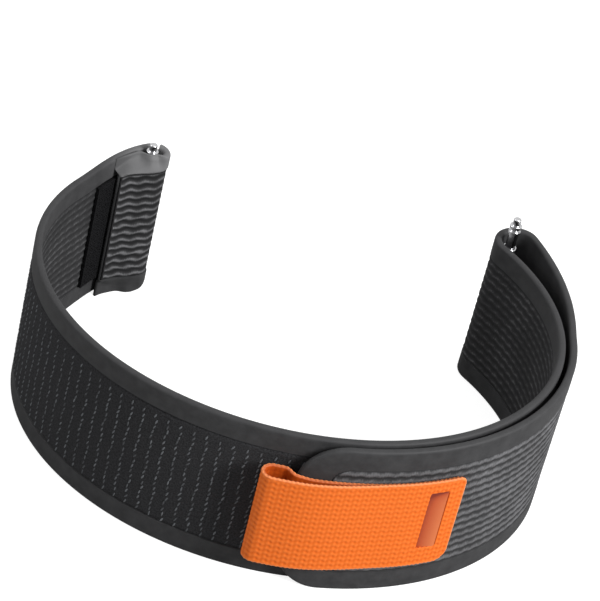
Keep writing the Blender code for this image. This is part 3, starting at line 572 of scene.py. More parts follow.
def ringPiece(name, points, centre, closed=False, order=1):
    # a skin over rings of points, which meets itself again or has a flat face at each end
    draft = MeshDraft()
    zeros = np.zeros(points.shape[:2])
    index = draft.addPoints(points + centre, points / mm, zeros, zeros)
    rings = np.concatenate((index, index[:1])) if closed else index
    after = np.roll(rings, -1, axis=1)
    quads = np.stack((rings[:-1], rings[1:], after[1:], after[:-1]), -1).reshape(-1, 4)
    ends = () if closed else ((index[:1], 1), (index[-1:], -1))
    for faces, turn in ((quads, 1), *ends):
        draft.addFaces(faces[:, ::turn * order])
    return draft.build(name)


def boxDistance(along, up, start, end, low, high, radius):
    # how far inside a rounded box each place is
    overAlong = np.abs(along - (start + end) / 2) - ((end - start) / 2 - radius)
    overUp = np.abs(up - (low + high) / 2) - ((high - low) / 2 - radius)
    outside = np.hypot(np.maximum(overAlong, 0), np.maximum(overUp, 0))
    return radius - outside - np.minimum(np.maximum(overAlong, overUp), 0)


band = {
    "edgeRadius": 0.36 * mm, "bedDepth": 0.30 * mm, "bedSlope": 0.10 * mm, "bedMargin": 0.06 * mm,
    "rowStep": 0.5 * mm, "columnStep": 0.62 * mm, "foldStep": 0.16 * mm, "cornerStep": 0.14 * mm,
    "unevenness": 0.015 * mm, "wornWidth": 0.5 * mm,
    "notchWidth": 1.2 * mm, "notchPastFoot": 0.3 * mm, "notchDepth": 0.9 * mm, "notchRadius": 0.3 * mm,
    "pressGap": 0.03 * mm, "pressHeight": 1.9 * mm, "pressTipHeight": 0.7 * mm, "pressBelow": 0.35,
    "thinShare": 0.45, "tipThinShare": 0.12, "tipTaper": 2.2 * mm, "thinPastTurn": 1.0 * mm,
    "closedPastTurn": 1.2 * mm, "barBeforeTurn": 0.25 * mm,
    "barSlack": 0.20 * mm, "tipSlack": 0.28 * mm, "tipSlackFrom": 0.6 * mm, "tipSlackRamp": 0.5 * mm,
    "barReach": 0.6 * mm, "barRamp": 1.7 * mm,
    "foldCorner": 2.2 * mm, "tailBedPastFold": 1.2 * mm, "tailPanelRaised": 0.7 * mm,
    "flapCorner": 2.4 * mm, "cornerReach": 2.6 * mm, "cornerPast": 0.4 * mm,
    "closeStep": 0.2 * mm, "tailStep": 0.25 * mm,
}
closeLines = np.array((0.0, 0.03, 0.08, 0.15, 0.24, 0.36)) * mm
bedEdge = np.array((-0.5, -0.12, -0.05, 0.0, 0.05, 0.12)) * mm
panelLow = strap["panelBorder"]
panelHigh = width - strap["panelBorder"]
tailPanelHigh = panelHigh + band["tailPanelRaised"]
notchEnd = leftFoot - band["notchPastFoot"]
notchStart = notchEnd - band["notchWidth"]
foldEnd, turnPlace, footPlace = (
    strapPath.place(mark, 0.0, 0.0) for mark in (leftFoldMiddle, tailTurn, leftFoot))
foldWay = foldEnd - (turnPlace + footPlace) / 2
foldWay /= np.linalg.norm(foldWay)


def cornerRise(along):
    # the left end's lower corner is rounded: how far the cloth's lower edge rises towards the fold
    back = (foldEnd - strapPath.place(along, 0.0, 0.0)) @ foldWay
    rise = cornerCut(band["foldCorner"], back)
    return np.where(np.abs(along - leftFoldMiddle) < 3 * band["foldCorner"], rise, 0.0)


def edgeDistance(along, up):
    # how far inside the cloth's outline each place is: the tail's tip, the tongue and the tool notch
    inside = boxDistance(along, up, tailTip - width, flapTip, 0.0, width, strap["tongueRadius"])
    inside = np.minimum(np.minimum(inside, along - tailTip), up - cornerRise(along))
    notch = boxDistance(
        along, up, notchStart, notchEnd, width - band["notchDepth"], width + width, band["notchRadius"])
    return np.minimum(np.minimum(inside, -notch), half * 4)


def outlineHeights(along):
    # the cloth's lowest and highest place at each length
    low = cornerCut(strap["tongueRadius"], flapTip - along)
    inside = band["notchWidth"] / 2 - np.abs(along - (notchStart + notchEnd) / 2)
    notch = width - band["notchDepth"] + cornerCut(band["notchRadius"], inside)
    return low, np.where(inside > 0, notch, width - low)


def clothDepth(along, up, beds):
    # half the cloth's thickness, rounded over at its edges and let down for the woven panels' beds
    distance = edgeDistance(along, up)
    depth = half - cornerCut(band["edgeRadius"], distance)
    for start, end, corner, high in beds:
        within = boxDistance(along, up, start, end, panelLow, high, corner)
        depth = depth - band["bedDepth"] * smoothShare(within / band["bedSlope"] + 0.5)
    # slow unevenness, of no pattern that the eye can follow
    slow = np.sin(along / (2.3 * mm) + 1.3 * np.sin(up / (3.1 * mm)))
    slow = slow * np.sin(up / (1.9 * mm) + along / (4.7 * mm))
    return depth + band["unevenness"] * slow * smoothShare(distance / band["wornWidth"])


def tailPress(along, up):
    # the tail's borders are thinned and pressed down on the band, and bulge where the bar passes:
    # the share of their thickness that is left, and how far their middle moves
    nearTip = smoothShare(1.0 - (along - tailTip) / band["tipTaper"])
    pressHeight = between(band["pressHeight"], band["pressTipHeight"], nearTip)
    closed = np.maximum(smoothShare((up - tailPanelHigh) / pressHeight),
                        band["pressBelow"] * smoothShare((panelLow - up) / pressHeight))
    nearTop = smoothShare((up - width + band["tipSlackFrom"]) / band["tipSlackRamp"])
    slack = band["barSlack"] + band["tipSlack"] * nearTop
    pastBar = (tailTurn - band["barBeforeTurn"] - along - band["barReach"]) / band["barRamp"]
    closing = between(slack, tailGap(tailTurn - along) - band["pressGap"], smoothShare(pastBar))
    share = between(band["thinShare"], band["tipThinShare"], nearTip)
    thin = 1.0 - (1.0 - share) * closed * smoothShare(1.0 + (tailTurn - along) / band["thinPastTurn"])
    closed = closed * smoothShare(1.0 + (tailTurn - along) / band["closedPastTurn"])
    return thin, -closed * closing - half * (1.0 - thin)


def bandPiece(name, start, end, plusBeds, minusBeds, nodes, bodies, extraRows=(), extraColumns=()):
    # a stretch of the folded cloth with both of its faces
    lowerLines = np.array([*closeLines, *(panelLow + bedEdge), *extraColumns])
    columns = gridLines(0.0, width, band["columnStep"], [*lowerLines, *(width - lowerLines)])
    rows = gridLines(start, end, band["rowStep"], extraRows)
    low, top = outlineHeights(rows)
    along = rows[:, None]
    up = between(low[:, None], top[:, None], columns[None, :] / width)
    up = np.where(up < panelLow, up + cornerRise(along) * (1.0 - up / panelLow), up)
    worn = 1.0 - smoothShare(edgeDistance(along, up) / band["wornWidth"])
    thin, middle = tailPress(along, up) if start == tailTip else (1.0, 0.0)
    # painted highlight: the left end's upper border is painted paler, standing in for the light that
    # falls on it
    highlightShare = smoothShare(1.0 - np.abs(along - leftFoldMiddle) / pressed["paintedHighlightLength"])
    highlightShare = highlightShare * smoothShare((up - tailPanelHigh) / pressed["paintedHighlightFade"] + 1.0)
    plus = middle + clothDepth(along, up, plusBeds) * thin
    minus = middle - clothDepth(along, up, minusBeds) * thin
    shellPiece(name, clothGrid(along, up, plus, highlightShare, worn), clothGrid(along, up, minus, highlightShare, worn),
               "pressed_nylon", nodes, bodies)


def bothSides(mark):
    return [mark - band["bedMargin"], mark + band["bedMargin"]]


fieldBed = (fieldStart, fieldEnd, 0.0, panelHigh)
liningBed = (liningStart, returnSplit + strap["flapLength"], 0.0, panelHigh)
flapBed = (tailTip, flapPanelEnd, band["flapCorner"], panelHigh)
tailBed = (tailTip - width, leftFoldMiddle + band["tailBedPastFold"], 0.0, tailPanelHigh)
foldRows = np.arange(tailTurn, leftFoot, band["foldStep"])
notchRows = [side + sign * (line + 0.006 * mm)
             for side in (notchStart, notchEnd) for sign in (-1, 1) for line in closeLines]
tongueRows = [*(flapTip - arcLines(strap["tongueRadius"], 4.0)), *(flapTip - closeLines)]
cornerRows = np.arange(
    flapPanelEnd - band["cornerReach"], flapPanelEnd + band["cornerPast"], band["cornerStep"])
cornerColumns = np.arange(panelLow, panelLow + band["cornerReach"], band["cornerStep"])
tailRows = [*np.arange(tailTip, tailTurn, band["tailStep"]), *(tailTip + closeLines), *foldRows]
tailColumns = [*np.arange(0.0, panelLow, band["closeStep"]),
               width - tailPanelHigh, width - tailPanelHigh + 0.05 * mm]
bandPiece("tail_cloth", tailTip, leftFoldMiddle, [tailBed], [],
          ["left_tail", "left_arm_band"], "tail", tailRows, tailColumns)
bandPiece("left_end_cloth", leftFoldMiddle, leftSplit, [tailBed, fieldBed], [liningBed],
          ["left_arm_band"], "left_arm",
          [*notchRows, *foldRows, *bothSides(liningStart), *bothSides(fieldStart)])
bandPiece("front_left_cloth", leftSplit, frontSplit, [fieldBed], [liningBed],
          ["left_arm_band", "front_band"], "left")
bandPiece("front_right_cloth", frontSplit, rightInSplit, [fieldBed], [liningBed],
          ["front_band", "right_arm_band"], "right", bothSides(fieldEnd))
bandPiece("right_end_cloth", rightInSplit, rightOutSplit, [], [liningBed],
          ["right_arm_band"], "right_arm",
          np.arange(rightFoot - mm, returnFoot + mm, band["closeStep"]))
bandPiece("return_cloth", rightOutSplit, returnSplit, [], [liningBed],
          ["right_arm_band", "return_band"], "return")
bandPiece("flap_cloth", returnSplit, flapTip, [], [flapBed],
          ["return_band", "flap"], "flap", [*tongueRows, *cornerRows], cornerColumns)
print("folded cloth made")

cords = {
    "count": 14, "pitch": (panelHigh - panelLow) / 14, "crest": 0.02 * mm,
    "rim": 0.18 * mm, "clearance": 0.06 * mm, "change": 8.0 * mm,
    "rowStep": 0.2 * mm, "samplesPerCord": 10, "back": band["bedDepth"] - 0.01 * mm,
    "flatBefore": 0.8 * mm, "flatRamp": 1.2 * mm, "flatShare": 0.7, "tipMargin": 0.1 * mm,
}
# Where a value has two, the first is for the wrist side and the second for the outside
# The groove and crest tones colour the cords: the dark grooves are painted shade, the paler crests
# partly wear and partly painted highlight; the outside's paler tones stand in for the stronger light on
# it
tailCords = {"side": 1, "waveLength": 2.3 * mm, "wobble": 0.17 * mm, "seed": 3, "top": tailPanelHigh,
             "valley": (0.18 * mm, 0.18 * mm), "grooveShadeTone": (0.1, 0.1), "crestWearAndHighlightTone": (0.96, 0.96),
             "fullness": (0.7, 0.7)}
bandCords = {"side": -1, "waveLength": 1.6 * mm, "wobble": 0.11 * mm, "seed": 5, "top": panelHigh,
             "valley": (0.10 * mm, 0.15 * mm), "grooveShadeTone": (0.38, 0.50), "crestWearAndHighlightTone": (0.74, 0.88),
             "fullness": (1.0, 0.5)}


def cordRelief(along, up, kind):
    # wavy raised cords along the cloth: 1 on a crest and 0 in a groove
    random = np.random.default_rng(kind["seed"])
    knots = np.arange(cords["count"] + 1)
    phases = random.uniform(-0.9, 0.9, len(knots))
    stretch = random.uniform(-0.12, 0.12, len(knots))
    row = (up - panelLow) / cords["pitch"]
    phase = np.interp(row, knots, phases) + np.interp(row, knots, stretch) * np.sin(along / (7.3 * mm))
    turn = 2 * math.pi * along / kind["waveLength"] + 3.0 * phase
    slow = np.sin(along / (5.1 * mm) + row)
    shift = kind["wobble"] * (0.75 * np.sin(turn) + 0.25 * slow) / cords["pitch"]
    crest = 0.5 + 0.5 * np.cos(2 * math.pi * (row + shift - 0.5))
    return crest ** 1.2 * (0.9 + 0.1 * np.cos(turn + 0.9))


def cordPanel(name, start, end, kind, nodes, bodies, corner=0.0, closedStart=False, closedEnd=False):
    # the ribbed woven panel let into one face of the cloth
    low, high = panelLow + cords["clearance"], kind["top"] - cords["clearance"]
    closeRows = np.array((0.03, 0.08, 0.14, 0.2)) * mm
    extraRows = [*(start + closeRows)] * closedStart + [*(end - closeRows)] * closedEnd
    rows = gridLines(start, end, cords["rowStep"], [*extraRows, *(end - arcLines(corner, 5.0))])
    columns = gridLines(low, high, cords["pitch"] / cords["samplesPerCord"],
                        [*(low + closeRows), *(high - closeRows)])
    cut = cornerCut(corner, end - rows)[:, None]
    along = rows[:, None]
    up = between(low + cut, high - cut, ((columns - low) / (high - low))[None, :])
    inside = boxDistance(along, up, start - (0.0 if closedStart else width),
                         end + (0.0 if closedEnd else width), low, high, corner)
    rim = smoothShare(inside / cords["rim"])
    # the values turn from the wrist side's into the outside's round the right loop
    change = smoothShare((along - rightLoop) / cords["change"] + 0.5)
    valley, groove, crest, fullness = (
        between(*kind[value], change) for value in ("valley", "grooveShadeTone", "crestWearAndHighlightTone", "fullness"))
    relief = cordRelief(along, up, kind) ** fullness * rim
    # painted shade in the grooves, and a paler tone on the crests that is partly wear and partly
    # painted highlight
    tone = between(groove, crest, relief)
    if kind is tailCords:
        relief = relief * (1.0 - cords["flatShare"] * smoothShare(
            (along - tailTurn + cords["flatBefore"]) / cords["flatRamp"]))
    side = kind["side"]
    face = clothGrid(along, up, side * (half - between(valley, cords["crest"], relief)), tone)
    back = clothGrid(along, up[:, [0, -1]], side * (half - cords["back"]))
    shellPiece(name, *(face, back)[::side], "ribbed_nylon", nodes, bodies)


cordPanel("tail_cords", tailTip + cords["tipMargin"], leftFoldMiddle, tailCords,
          ["left_tail_rib_panel"], "tail", closedStart=True)
cordPanel("left_fold_cords", leftFoldMiddle, tailBed[1] - cords["clearance"], tailCords,
          ["left_arm_band"], "left_arm", closedEnd=True)
cordPanel("left_lining_cords", liningStart + cords["clearance"], leftSplit, bandCords,
          ["left_arm_lining"], "left_arm", closedStart=True)
cordPanel("front_left_cords", leftSplit, frontSplit, bandCords,
          ["left_arm_lining", "front_lining"], "left")
cordPanel("front_right_cords", frontSplit, rightInSplit, bandCords,
          ["front_lining", "right_arm_rib_panel"], "right")
cordPanel("right_end_cords", rightInSplit, rightOutSplit, bandCords,
          ["right_arm_rib_panel"], "right_arm")
cordPanel("return_cords", rightOutSplit, returnSplit, bandCords,
          ["right_arm_rib_panel", "return_rib_panel"], "return")
cordPanel("flap_cords", returnSplit, flapPanelEnd - cords["clearance"], bandCords,
          ["return_rib_panel", "flap_rib_panel"], "flap",
          corner=band["flapCorner"] - cords["clearance"], closedEnd=True)
print("ribbed panels made")

dashes = {"rowPitch": 1.65 * mm, "pitch": 0.80 * mm, "halfLength": 0.38 * mm, "halfWidth": 0.11 * mm,
          "height": 0.07 * mm, "slant": math.radians(72.0), "zigzag": 0.07 * mm, "fuzz": 0.035 * mm,
          "gridStep": 0.3 * mm, "closeLine": 0.08 * mm, "sink": 0.04 * mm, "rimSink": 0.24 * mm,
          "bottomMargin": 0.5 * mm, "topMargin": 0.4 * mm, "scatterUp": 0.05 * mm,
          "scatterAlong": 0.04 * mm, "scatterTurn": 0.12, "faintest": 0.35}


def scatter(draft, centres, turns, shape, faces, raised):
    # copies of one small closed shape on the cloth, each turned about the cloth's normal
    cosines, sines = np.cos(turns)[:, None], np.sin(turns)[:, None]
    along = centres[:, 0, None] + cosines * shape[None, :, 0] - sines * shape[None, :, 1]
    up = centres[:, 1, None] + sines * shape[None, :, 0] + cosines * shape[None, :, 1]
    out = centres[:, 2, None] + shape[None, :, 2]
    index = draft.addPoints(*clothGrid(along, up, out, raised))
    for corners in faces:
        draft.addFaces(index[:, corners].reshape(-1, len(corners)))


def pebbleShape(halfLength, halfWidth, height, sides=8):
    # a small smooth pebble: rings of points with one at each end of its height
    turns = 2 * math.pi * np.arange(sides) / sides
    rings = [np.column_stack((halfLength * reach * np.cos(turns), halfWidth * reach * np.sin(turns),
                              np.full(sides, height * level)))
             for reach, level in ((0.62, -0.8), (1.0, 0.0), (0.62, 0.8))]
    shape = np.concatenate(rings + [np.array(((0, 0, -height), (0, 0, height)))])
    faces = []
    for side in range(sides):
        after = (side + 1) % sides
        for ring in (0, sides):
            faces.append([ring + side, ring + after, ring + sides + after, ring + sides + side])
        faces.append([3 * sides, after, side])
        faces.append([3 * sides + 1, 2 * sides + side, 2 * sides + after])
    return shape, faces


def loopField(name, start, end, nodes, bodies, seed):
    # the soft loop pile with its rows of woven dashes
    random = np.random.default_rng(seed)
    low, high = panelLow + cords["clearance"], panelHigh - cords["clearance"]
    rows = gridLines(start, end, dashes["gridStep"])
    columns = gridLines(low, high, dashes["gridStep"],
                        (low + dashes["closeLine"], high - dashes["closeLine"]))
    along, up = np.meshgrid(rows, columns, indexing="ij")
    rim = smoothShare(np.minimum(up - low, high - up) / cords["rim"])
    fuzz = random.uniform(-1.0, 1.0, along.shape) * dashes["fuzz"]
    fuzz[[0, -1], :] = 0.0
    face = half - between(dashes["rimSink"], dashes["sink"], rim) + fuzz * rim
    draft = MeshDraft()
    draft.addShell(clothGrid(along, up, face),
                   clothGrid(along[:, [0, -1]], up[:, [0, -1]], half - cords["back"]))
    firstRow = math.ceil((start - fieldStart + dashes["halfLength"]) / dashes["rowPitch"])
    lastRow = math.floor((end - fieldStart - dashes["halfLength"]) / dashes["rowPitch"])
    centres, turns, tones = [], [], []
    for row in range(firstRow, lastRow + 1):
        ups = np.arange(low + dashes["bottomMargin"], high - dashes["topMargin"], dashes["pitch"])
        ups = ups + random.normal(0.0, dashes["scatterUp"], len(ups))
        zigzag = dashes["zigzag"] * np.where(np.arange(len(ups)) // 2 % 2 == 0, 1.0, -1.0)
        alongs = fieldStart + row * dashes["rowPitch"] + zigzag
        alongs = alongs + random.normal(0.0, dashes["scatterAlong"], len(ups))
        alongs = np.clip(alongs, start + dashes["halfLength"], end - dashes["halfLength"])
        centres.append(np.column_stack((alongs, ups, np.full(len(ups), half - dashes["sink"]))))
        turns.append(dashes["slant"] + random.normal(0.0, dashes["scatterTurn"], len(ups)))
        tones.append(random.uniform(dashes["faintest"], 1.0, len(ups)))
    shape, faces = pebbleShape(dashes["halfLength"], dashes["halfWidth"], dashes["height"])
    scatter(draft, np.concatenate(centres), np.concatenate(turns), shape, faces,
            np.concatenate(tones)[:, None])
    finishPiece(draft.build(name), "loop_pile", nodes, bodies)


loopField("front_left_loops", fieldStart + cords["clearance"], frontSplit,
          ["left_arm_loop_field", "front_loop_field"], "left", 11)
loopField("front_loops", frontSplit, fieldEnd - cords["clearance"], ["front_loop_field"], "front", 12)
print("loop pile made")


def hookField(name, start, end, low, high, outer, inner, corner, nodes, bodies, seed):
    # a tape between two depths, with rows of small moulded hooks on its outer face
    random = np.random.default_rng(seed)
    arcs = arcLines(corner, 10.0)
    rows = gridLines(start, end, hookTape["rowStep"], [*(start + arcs), *(end - arcs)])
    cut = cornerCut(corner, np.minimum(rows - start, end - rows))[:, None]
    up = between(low + cut, high - cut, np.linspace(0.0, 1.0, hookTape["columns"])[None, :])
    ripple = random.uniform(-1.0, 1.0, up.shape) * hookTape["ripple"]
    draft = MeshDraft()
    draft.addShell(clothGrid(rows[:, None], up, outer + ripple),
                   clothGrid(rows[:, None], up, inner - ripple))
    pitch = hookTape["hookPitch"]
    alongs, ups = np.meshgrid(np.arange(start + pitch, end - pitch / 2, pitch),
                              np.arange(low + pitch, high - pitch / 2, pitch), indexing="ij")
    alongs = alongs + random.normal(0.0, hookTape["scatter"], alongs.shape)
    ups = ups + random.normal(0.0, hookTape["scatter"], ups.shape)
    keep = boxDistance(alongs, ups, start, end, low, high, corner) > hookTape["border"]
    shape, faces = pebbleShape(
        hookTape["hookRadius"], hookTape["hookRadius"], hookTape["hookHeight"], hookTape["hookSides"])
    centres = np.column_stack((alongs[keep], ups[keep], np.full(keep.sum(), outer)))
    scatter(draft, centres, random.uniform(0.0, 6.0, len(centres)), shape, faces, 0.0)
    finishPiece(draft.build(name), "hook_tape", nodes, bodies)


tapeTop = -half - hookTape["bed"]
tapeStart = tailTip - hookTape["showing"]
hookField("tail_hook_tape", tapeStart, tapeStart + hookTape["width"], panelLow, panelHigh,
          tapeTop, tapeTop - hookTape["thickness"], 0.0, ["left_tail_hook_tape"], "left_tail", 21)
pad = {"border": 3.4 * mm, "bed": 0.08 * mm, "thickness": 0.14 * mm, "corner": 3.0 * mm}
hookField("flap_hook_tape", padStart, padEnd, pad["border"], width - pad["border"],
          half + pad["bed"] + pad["thickness"], half + pad["bed"], pad["corner"],
          ["flap_hook_pad"], "flap", 22)
print("hook tapes made")

tabLow = (width - tab["width"]) / 2 + tab["rise"]
tabHigh = tabLow + tab["width"]
insert = {"start": tabEnd + 2.15 * mm, "width": 2.4 * mm, "height": 8.7 * mm, "rise": 0.5 * mm,
          "radius": 0.2 * mm, "recess": 0.44 * mm, "shallow": 0.12 * mm, "wall": 0.12 * mm,
          "step": 0.1 * mm, "columns": 90, "deep": 0.42 * mm, "level": 0.03 * mm, "lipShare": 0.06}
insertLow = tabLow + (tab["width"] - insert["height"]) / 2 + insert["rise"]
insertHigh = insertLow + insert["height"]
insertEnd = insert["start"] + insert["width"]


def recessDepth(along):
    # deep under the side of the insert towards the tongue, shallow at its other side
    share = np.clip((along - insert["start"]) / insert["width"], 0.0, 1.0)
    return between(insert["shallow"], insert["recess"], share)


def tabDepths(along):
    # the webbing's inner and outer layer, as distances from the middle of the flap's cloth
    onFlap = -(half + tab["bed"] + tab["thickness"] / 2)
    onBand = half + strap["layerGap"] - tab["liftOffBand"] - tab["thickness"] / 2
    inner = between(onFlap, onBand, smoothShare((along - flapTip - tab["bed"]) / tab["stepLength"]))
    bow = tab["bow"] * smoothShare((along - flapTip + tab["bowLength"]) / tab["bowLength"])
    return inner, onFlap - tab["thickness"] - tab["bed"] - bow


def tabPath():
    # the webbing's own line: out along its outer layer, round the finger fold and back under it
    reach = flapTip + tab["overhang"]
    inner, outer = tabDepths(reach)
    radius = (inner - outer) / 2
    turnAt = reach - radius - tab["thickness"] / 2
    alongs = np.linspace(tabEnd, turnAt, fine["tabPoints"])
    turns = math.pi * np.arange(1, fine["tabFoldSteps"]) / fine["tabFoldSteps"]
    out = strapPath.place(alongs, 0.0, tabDepths(alongs)[1])
    fold = strapPath.place(
        turnAt + radius * np.sin(turns), 0.0, (inner + outer) / 2 - radius * np.cos(turns))
    back = strapPath.place(alongs[::-1], 0.0, tabDepths(alongs[::-1])[0])
    return ClothPath(np.concatenate((out, fold, back))[:, :2], softness=tab["softness"])


def webbingRelief(along, up):
    # a tight plain weave: rows of yarn that wave over every second column, and columns between them
    column = along / tab["columnPitch"]
    row = (up - tabLow) / tab["rowPitch"] + 0.146 * np.sin(math.pi * column)
    row = row + 0.05 * np.sin(along / (3.0 * mm))
    rows = 0.5 - 0.42 * (1.0 - 0.3 * np.cos(math.pi * column)) * np.cos(2 * math.pi * row)
    columns = 0.5 - 0.5 * np.cos(2 * math.pi * column)
    return 0.30 + 0.40 * rows + 0.22 * columns


def pullTab():
    # one length of webbing, folded into a finger loop; both of its ends lie on the flap
    path = tabPath()
    total = path.run[-1]
    corners = (tab["bottomRadius"], tab["topRadius"])
    closeRows = np.array((0.03, 0.08, 0.14, 0.22)) * mm
    ends = np.concatenate((closeRows, *(arcLines(radius, 6.0) for radius in corners)))
    sides = closeRows / tab["width"]
    rows = gridLines(0.0, total, tab["gridStep"], [*ends, *(total - ends)])
    columns = gridLines(0.0, 1.0, tab["gridStep"] / tab["width"], [*sides, *(1.0 - sides)])
    fromEnd = np.minimum(rows, total - rows)
    low, high = (cornerCut(radius, fromEnd) for radius in corners)
    # the weave's columns scallop both selvedges, and the inner layer is a little narrower at its top
    scallop = tab["scallop"] * np.cos(2 * math.pi * rows / tab["columnPitch"])
    inner = smoothShare((rows - total / 2 - tab["innerLowerFrom"]) / tab["innerLowerLength"])
    low = tabLow + low + scallop
    high = tabHigh - high - scallop - tab["innerLower"] * inner
    slantLow, slantHigh = (
        np.cos(np.arctan(np.abs(np.gradient(side, rows))))[:, None] for side in (low, high))
    low, high = low[:, None], high[:, None]
    along = rows[:, None]
    up = between(low, high, columns[None, :])
    fromLow, fromHigh = (up - low) * slantLow, (high - up) * slantHigh
    distance = np.minimum(np.minimum(fromLow, fromHigh), fromEnd[:, None])
    depth = tab["thickness"] / 2 - cornerCut(tab["edgeRadius"], distance)
    relief = webbingRelief(along, up)
    sink = tab["relief"] * (1.0 - relief) * smoothShare(distance / tab["smoothRim"])
    within = boxDistance(along, up, insert["start"] - tabEnd, insertEnd - tabEnd, insertLow, insertHigh,
                         insert["radius"])
    recess = recessDepth(along + tabEnd) * smoothShare(within / insert["wall"] + 0.5)
    # the lower selvedge is worn paler than the upper one and the ends
    worn = 1.0 - smoothShare(distance / tab["wornWidth"])
    worn = worn * np.where(fromHigh > distance, 0.85, 0.4)
    share = tab["innerShare"]
    plus = depth - share * sink
    minus = np.minimum(-depth + sink + recess, plus - 0.02 * mm)
    # painted shade: the loop's inner faces take only a quarter of the weave's tone, so they are painted
    # darker, and the outer face under the insert is painted at the deepest tone
    shellPiece("pull_tab_webbing", clothGrid(along, up, plus, 0.25 * relief, 0.5 * worn, path),
               clothGrid(along, up, minus, relief * (recess == 0.0), worn, path),
               "orange_webbing", ["pull_tab_end", "pull_tab_loop"], "tab")


def tabInsert():
    # the smooth dished insert: deep towards the tongue and its top, and level at its lower outer corner
    gap = insert["wall"] / 2
    start, end, low, high = insert["start"] - gap, insertEnd + gap, insertLow - gap, insertHigh + gap
    rows = gridLines(start, end, insert["step"])
    cut = cornerCut(insert["radius"], np.minimum(rows - start, end - rows))[:, None]
    up = between(low + cut, high - cut, np.linspace(0.0, 1.0, insert["columns"])[None, :])
    along = rows[:, None]
    outer = tabDepths(insert["start"])[1] - tab["thickness"] / 2
    fromTongue = (end - along) / (end - start)
    fromTop = (high - up) / (high - low)
    # the level also colours the face: deep places are painted dark as painted shade, and the top lip
    # gets a dark painted shadow line
    level = fromTongue ** 0.8 * (0.75 + 0.25 * fromTop)
    level = level - 1.2 * np.exp(-fromTop / insert["lipShare"]) * (1.0 - 0.3 * fromTongue)
    level = np.clip(level, 0.0, 1.0)
    back = outer + recessDepth(along) + 0.005 * mm
    face = np.minimum(outer + between(insert["level"], insert["deep"], 1.0 - level), back - 0.01 * mm)
    shellPiece("pull_tab_insert", clothGrid(along, up, back), clothGrid(along, up, face, level),
               "moulded_grip", ["pull_tab_grip"], "flap")


pullTab()
tabInsert()
print("pull tab made")

bar = {
    "length": 22.9 * mm, "barrelRadius": 0.90 * mm, "barrelWall": 0.12 * mm, "lip": 0.30 * mm,
    "runningGap": 0.06 * mm, "headStep": 0.08 * mm, "showing": 4.55 * mm, "headLength": 1.0 * mm,
    "endPlay": 0.05 * mm, "tipRadius": 0.50 * mm, "tipLength": 1.0 * mm, "tipChamfer": 0.12 * mm,
    "flangeRadius": 0.78 * mm, "flangeLength": 0.45 * mm, "grooveRadius": 0.56 * mm,
    "grooveLength": 0.35 * mm, "sides": 64, "edge": 0.05 * mm, "centreShare": 0.1,
}


def softened(profile, edge, closed=False):
    # each corner of a turned profile cut back by a small edge
    points = [np.array(point, float) for point in profile]
    soft = []
    for index, point in enumerate(points):
        if not closed and index in (0, len(points) - 1):
            soft.append(point)
            continue
        for other in (points[index - 1], points[(index + 1) % len(points)]):
            step = other - point
            soft.append(point + step * min(edge / np.linalg.norm(step), 0.4))
    return soft


def turnedPiece(name, profile, centre, nodes, body, closed=False):
    # a part turned on a lathe: its profile goes once round a vertical axis
    profile = np.array(softened(profile, bar["edge"], closed))
    turns = 2 * math.pi * np.arange(bar["sides"]) / bar["sides"]
    points = np.stack((profile[:, 0, None] * np.cos(turns), profile[:, 0, None] * np.sin(turns),
                       np.repeat(profile[:, 1, None], bar["sides"], axis=1)), -1)
    piece = ringPiece(name, points, centre, closed)
    piece.data.set_sharp_from_angle(angle=math.radians(30.0))
    finishPiece(piece, "polished_steel", nodes, body)


def springBar(side, centre):
    # a tube with a double-flanged, sprung tip at each end
    barrelHalf = bar["length"] / 2 - bar["showing"]
    bore = bar["barrelRadius"] - bar["barrelWall"]
    headRadius = bore - bar["runningGap"]
    shaftRadius = headRadius - bar["headStep"]
    lipRadius = shaftRadius + bar["runningGap"]
    inner = barrelHalf - bar["lip"]
    turnedPiece(side + "_barrel", [
        (bar["barrelRadius"], barrelHalf), (bar["barrelRadius"], -barrelHalf), (lipRadius, -barrelHalf),
        (lipRadius, -inner), (bore, -inner), (bore, inner), (lipRadius, inner), (lipRadius, barrelHalf),
    ], centre, [side + "_bar_barrel"], side + "_bar", closed=True)
    tip, flange, groove = bar["tipRadius"], bar["flangeRadius"], bar["grooveRadius"]
    top = bar["length"] / 2
    shoulder = top - bar["tipLength"]
    grooveTop = shoulder - bar["flangeLength"]
    grooveBottom = grooveTop - bar["grooveLength"]
    lower = grooveBottom - bar["flangeLength"]
    headTop = inner - bar["endPlay"]
    headBottom = headTop - bar["headLength"]
    profile = [
        (tip * bar["centreShare"], top), (tip - bar["tipChamfer"], top), (tip, top - bar["tipChamfer"]),
        (tip, shoulder), (flange, shoulder), (flange, grooveTop), (groove, grooveTop),
        (groove, grooveBottom), (flange, grooveBottom), (flange, lower), (shaftRadius, lower),
        (shaftRadius, headTop), (headRadius, headTop), (headRadius, headBottom),
        (headRadius * bar["centreShare"], headBottom)]
    mirrored = [(radius, -height) for radius, height in reversed(profile)]
    for end, outline in (("upper", profile), ("lower", mirrored)):
        turnedPiece(f"{side}_{end}_tip", outline, centre, [f"{side}_bar_{end}_plunger"],
                    f"{side}_{end}_plunger")


coil = {"halfLength": 5.50 * mm, "wire": 0.10 * mm, "windRadius": 0.62 * mm, "halfTurns": 5.5,
        "steps": 24, "wireSides": 10, "keep": 0.77}


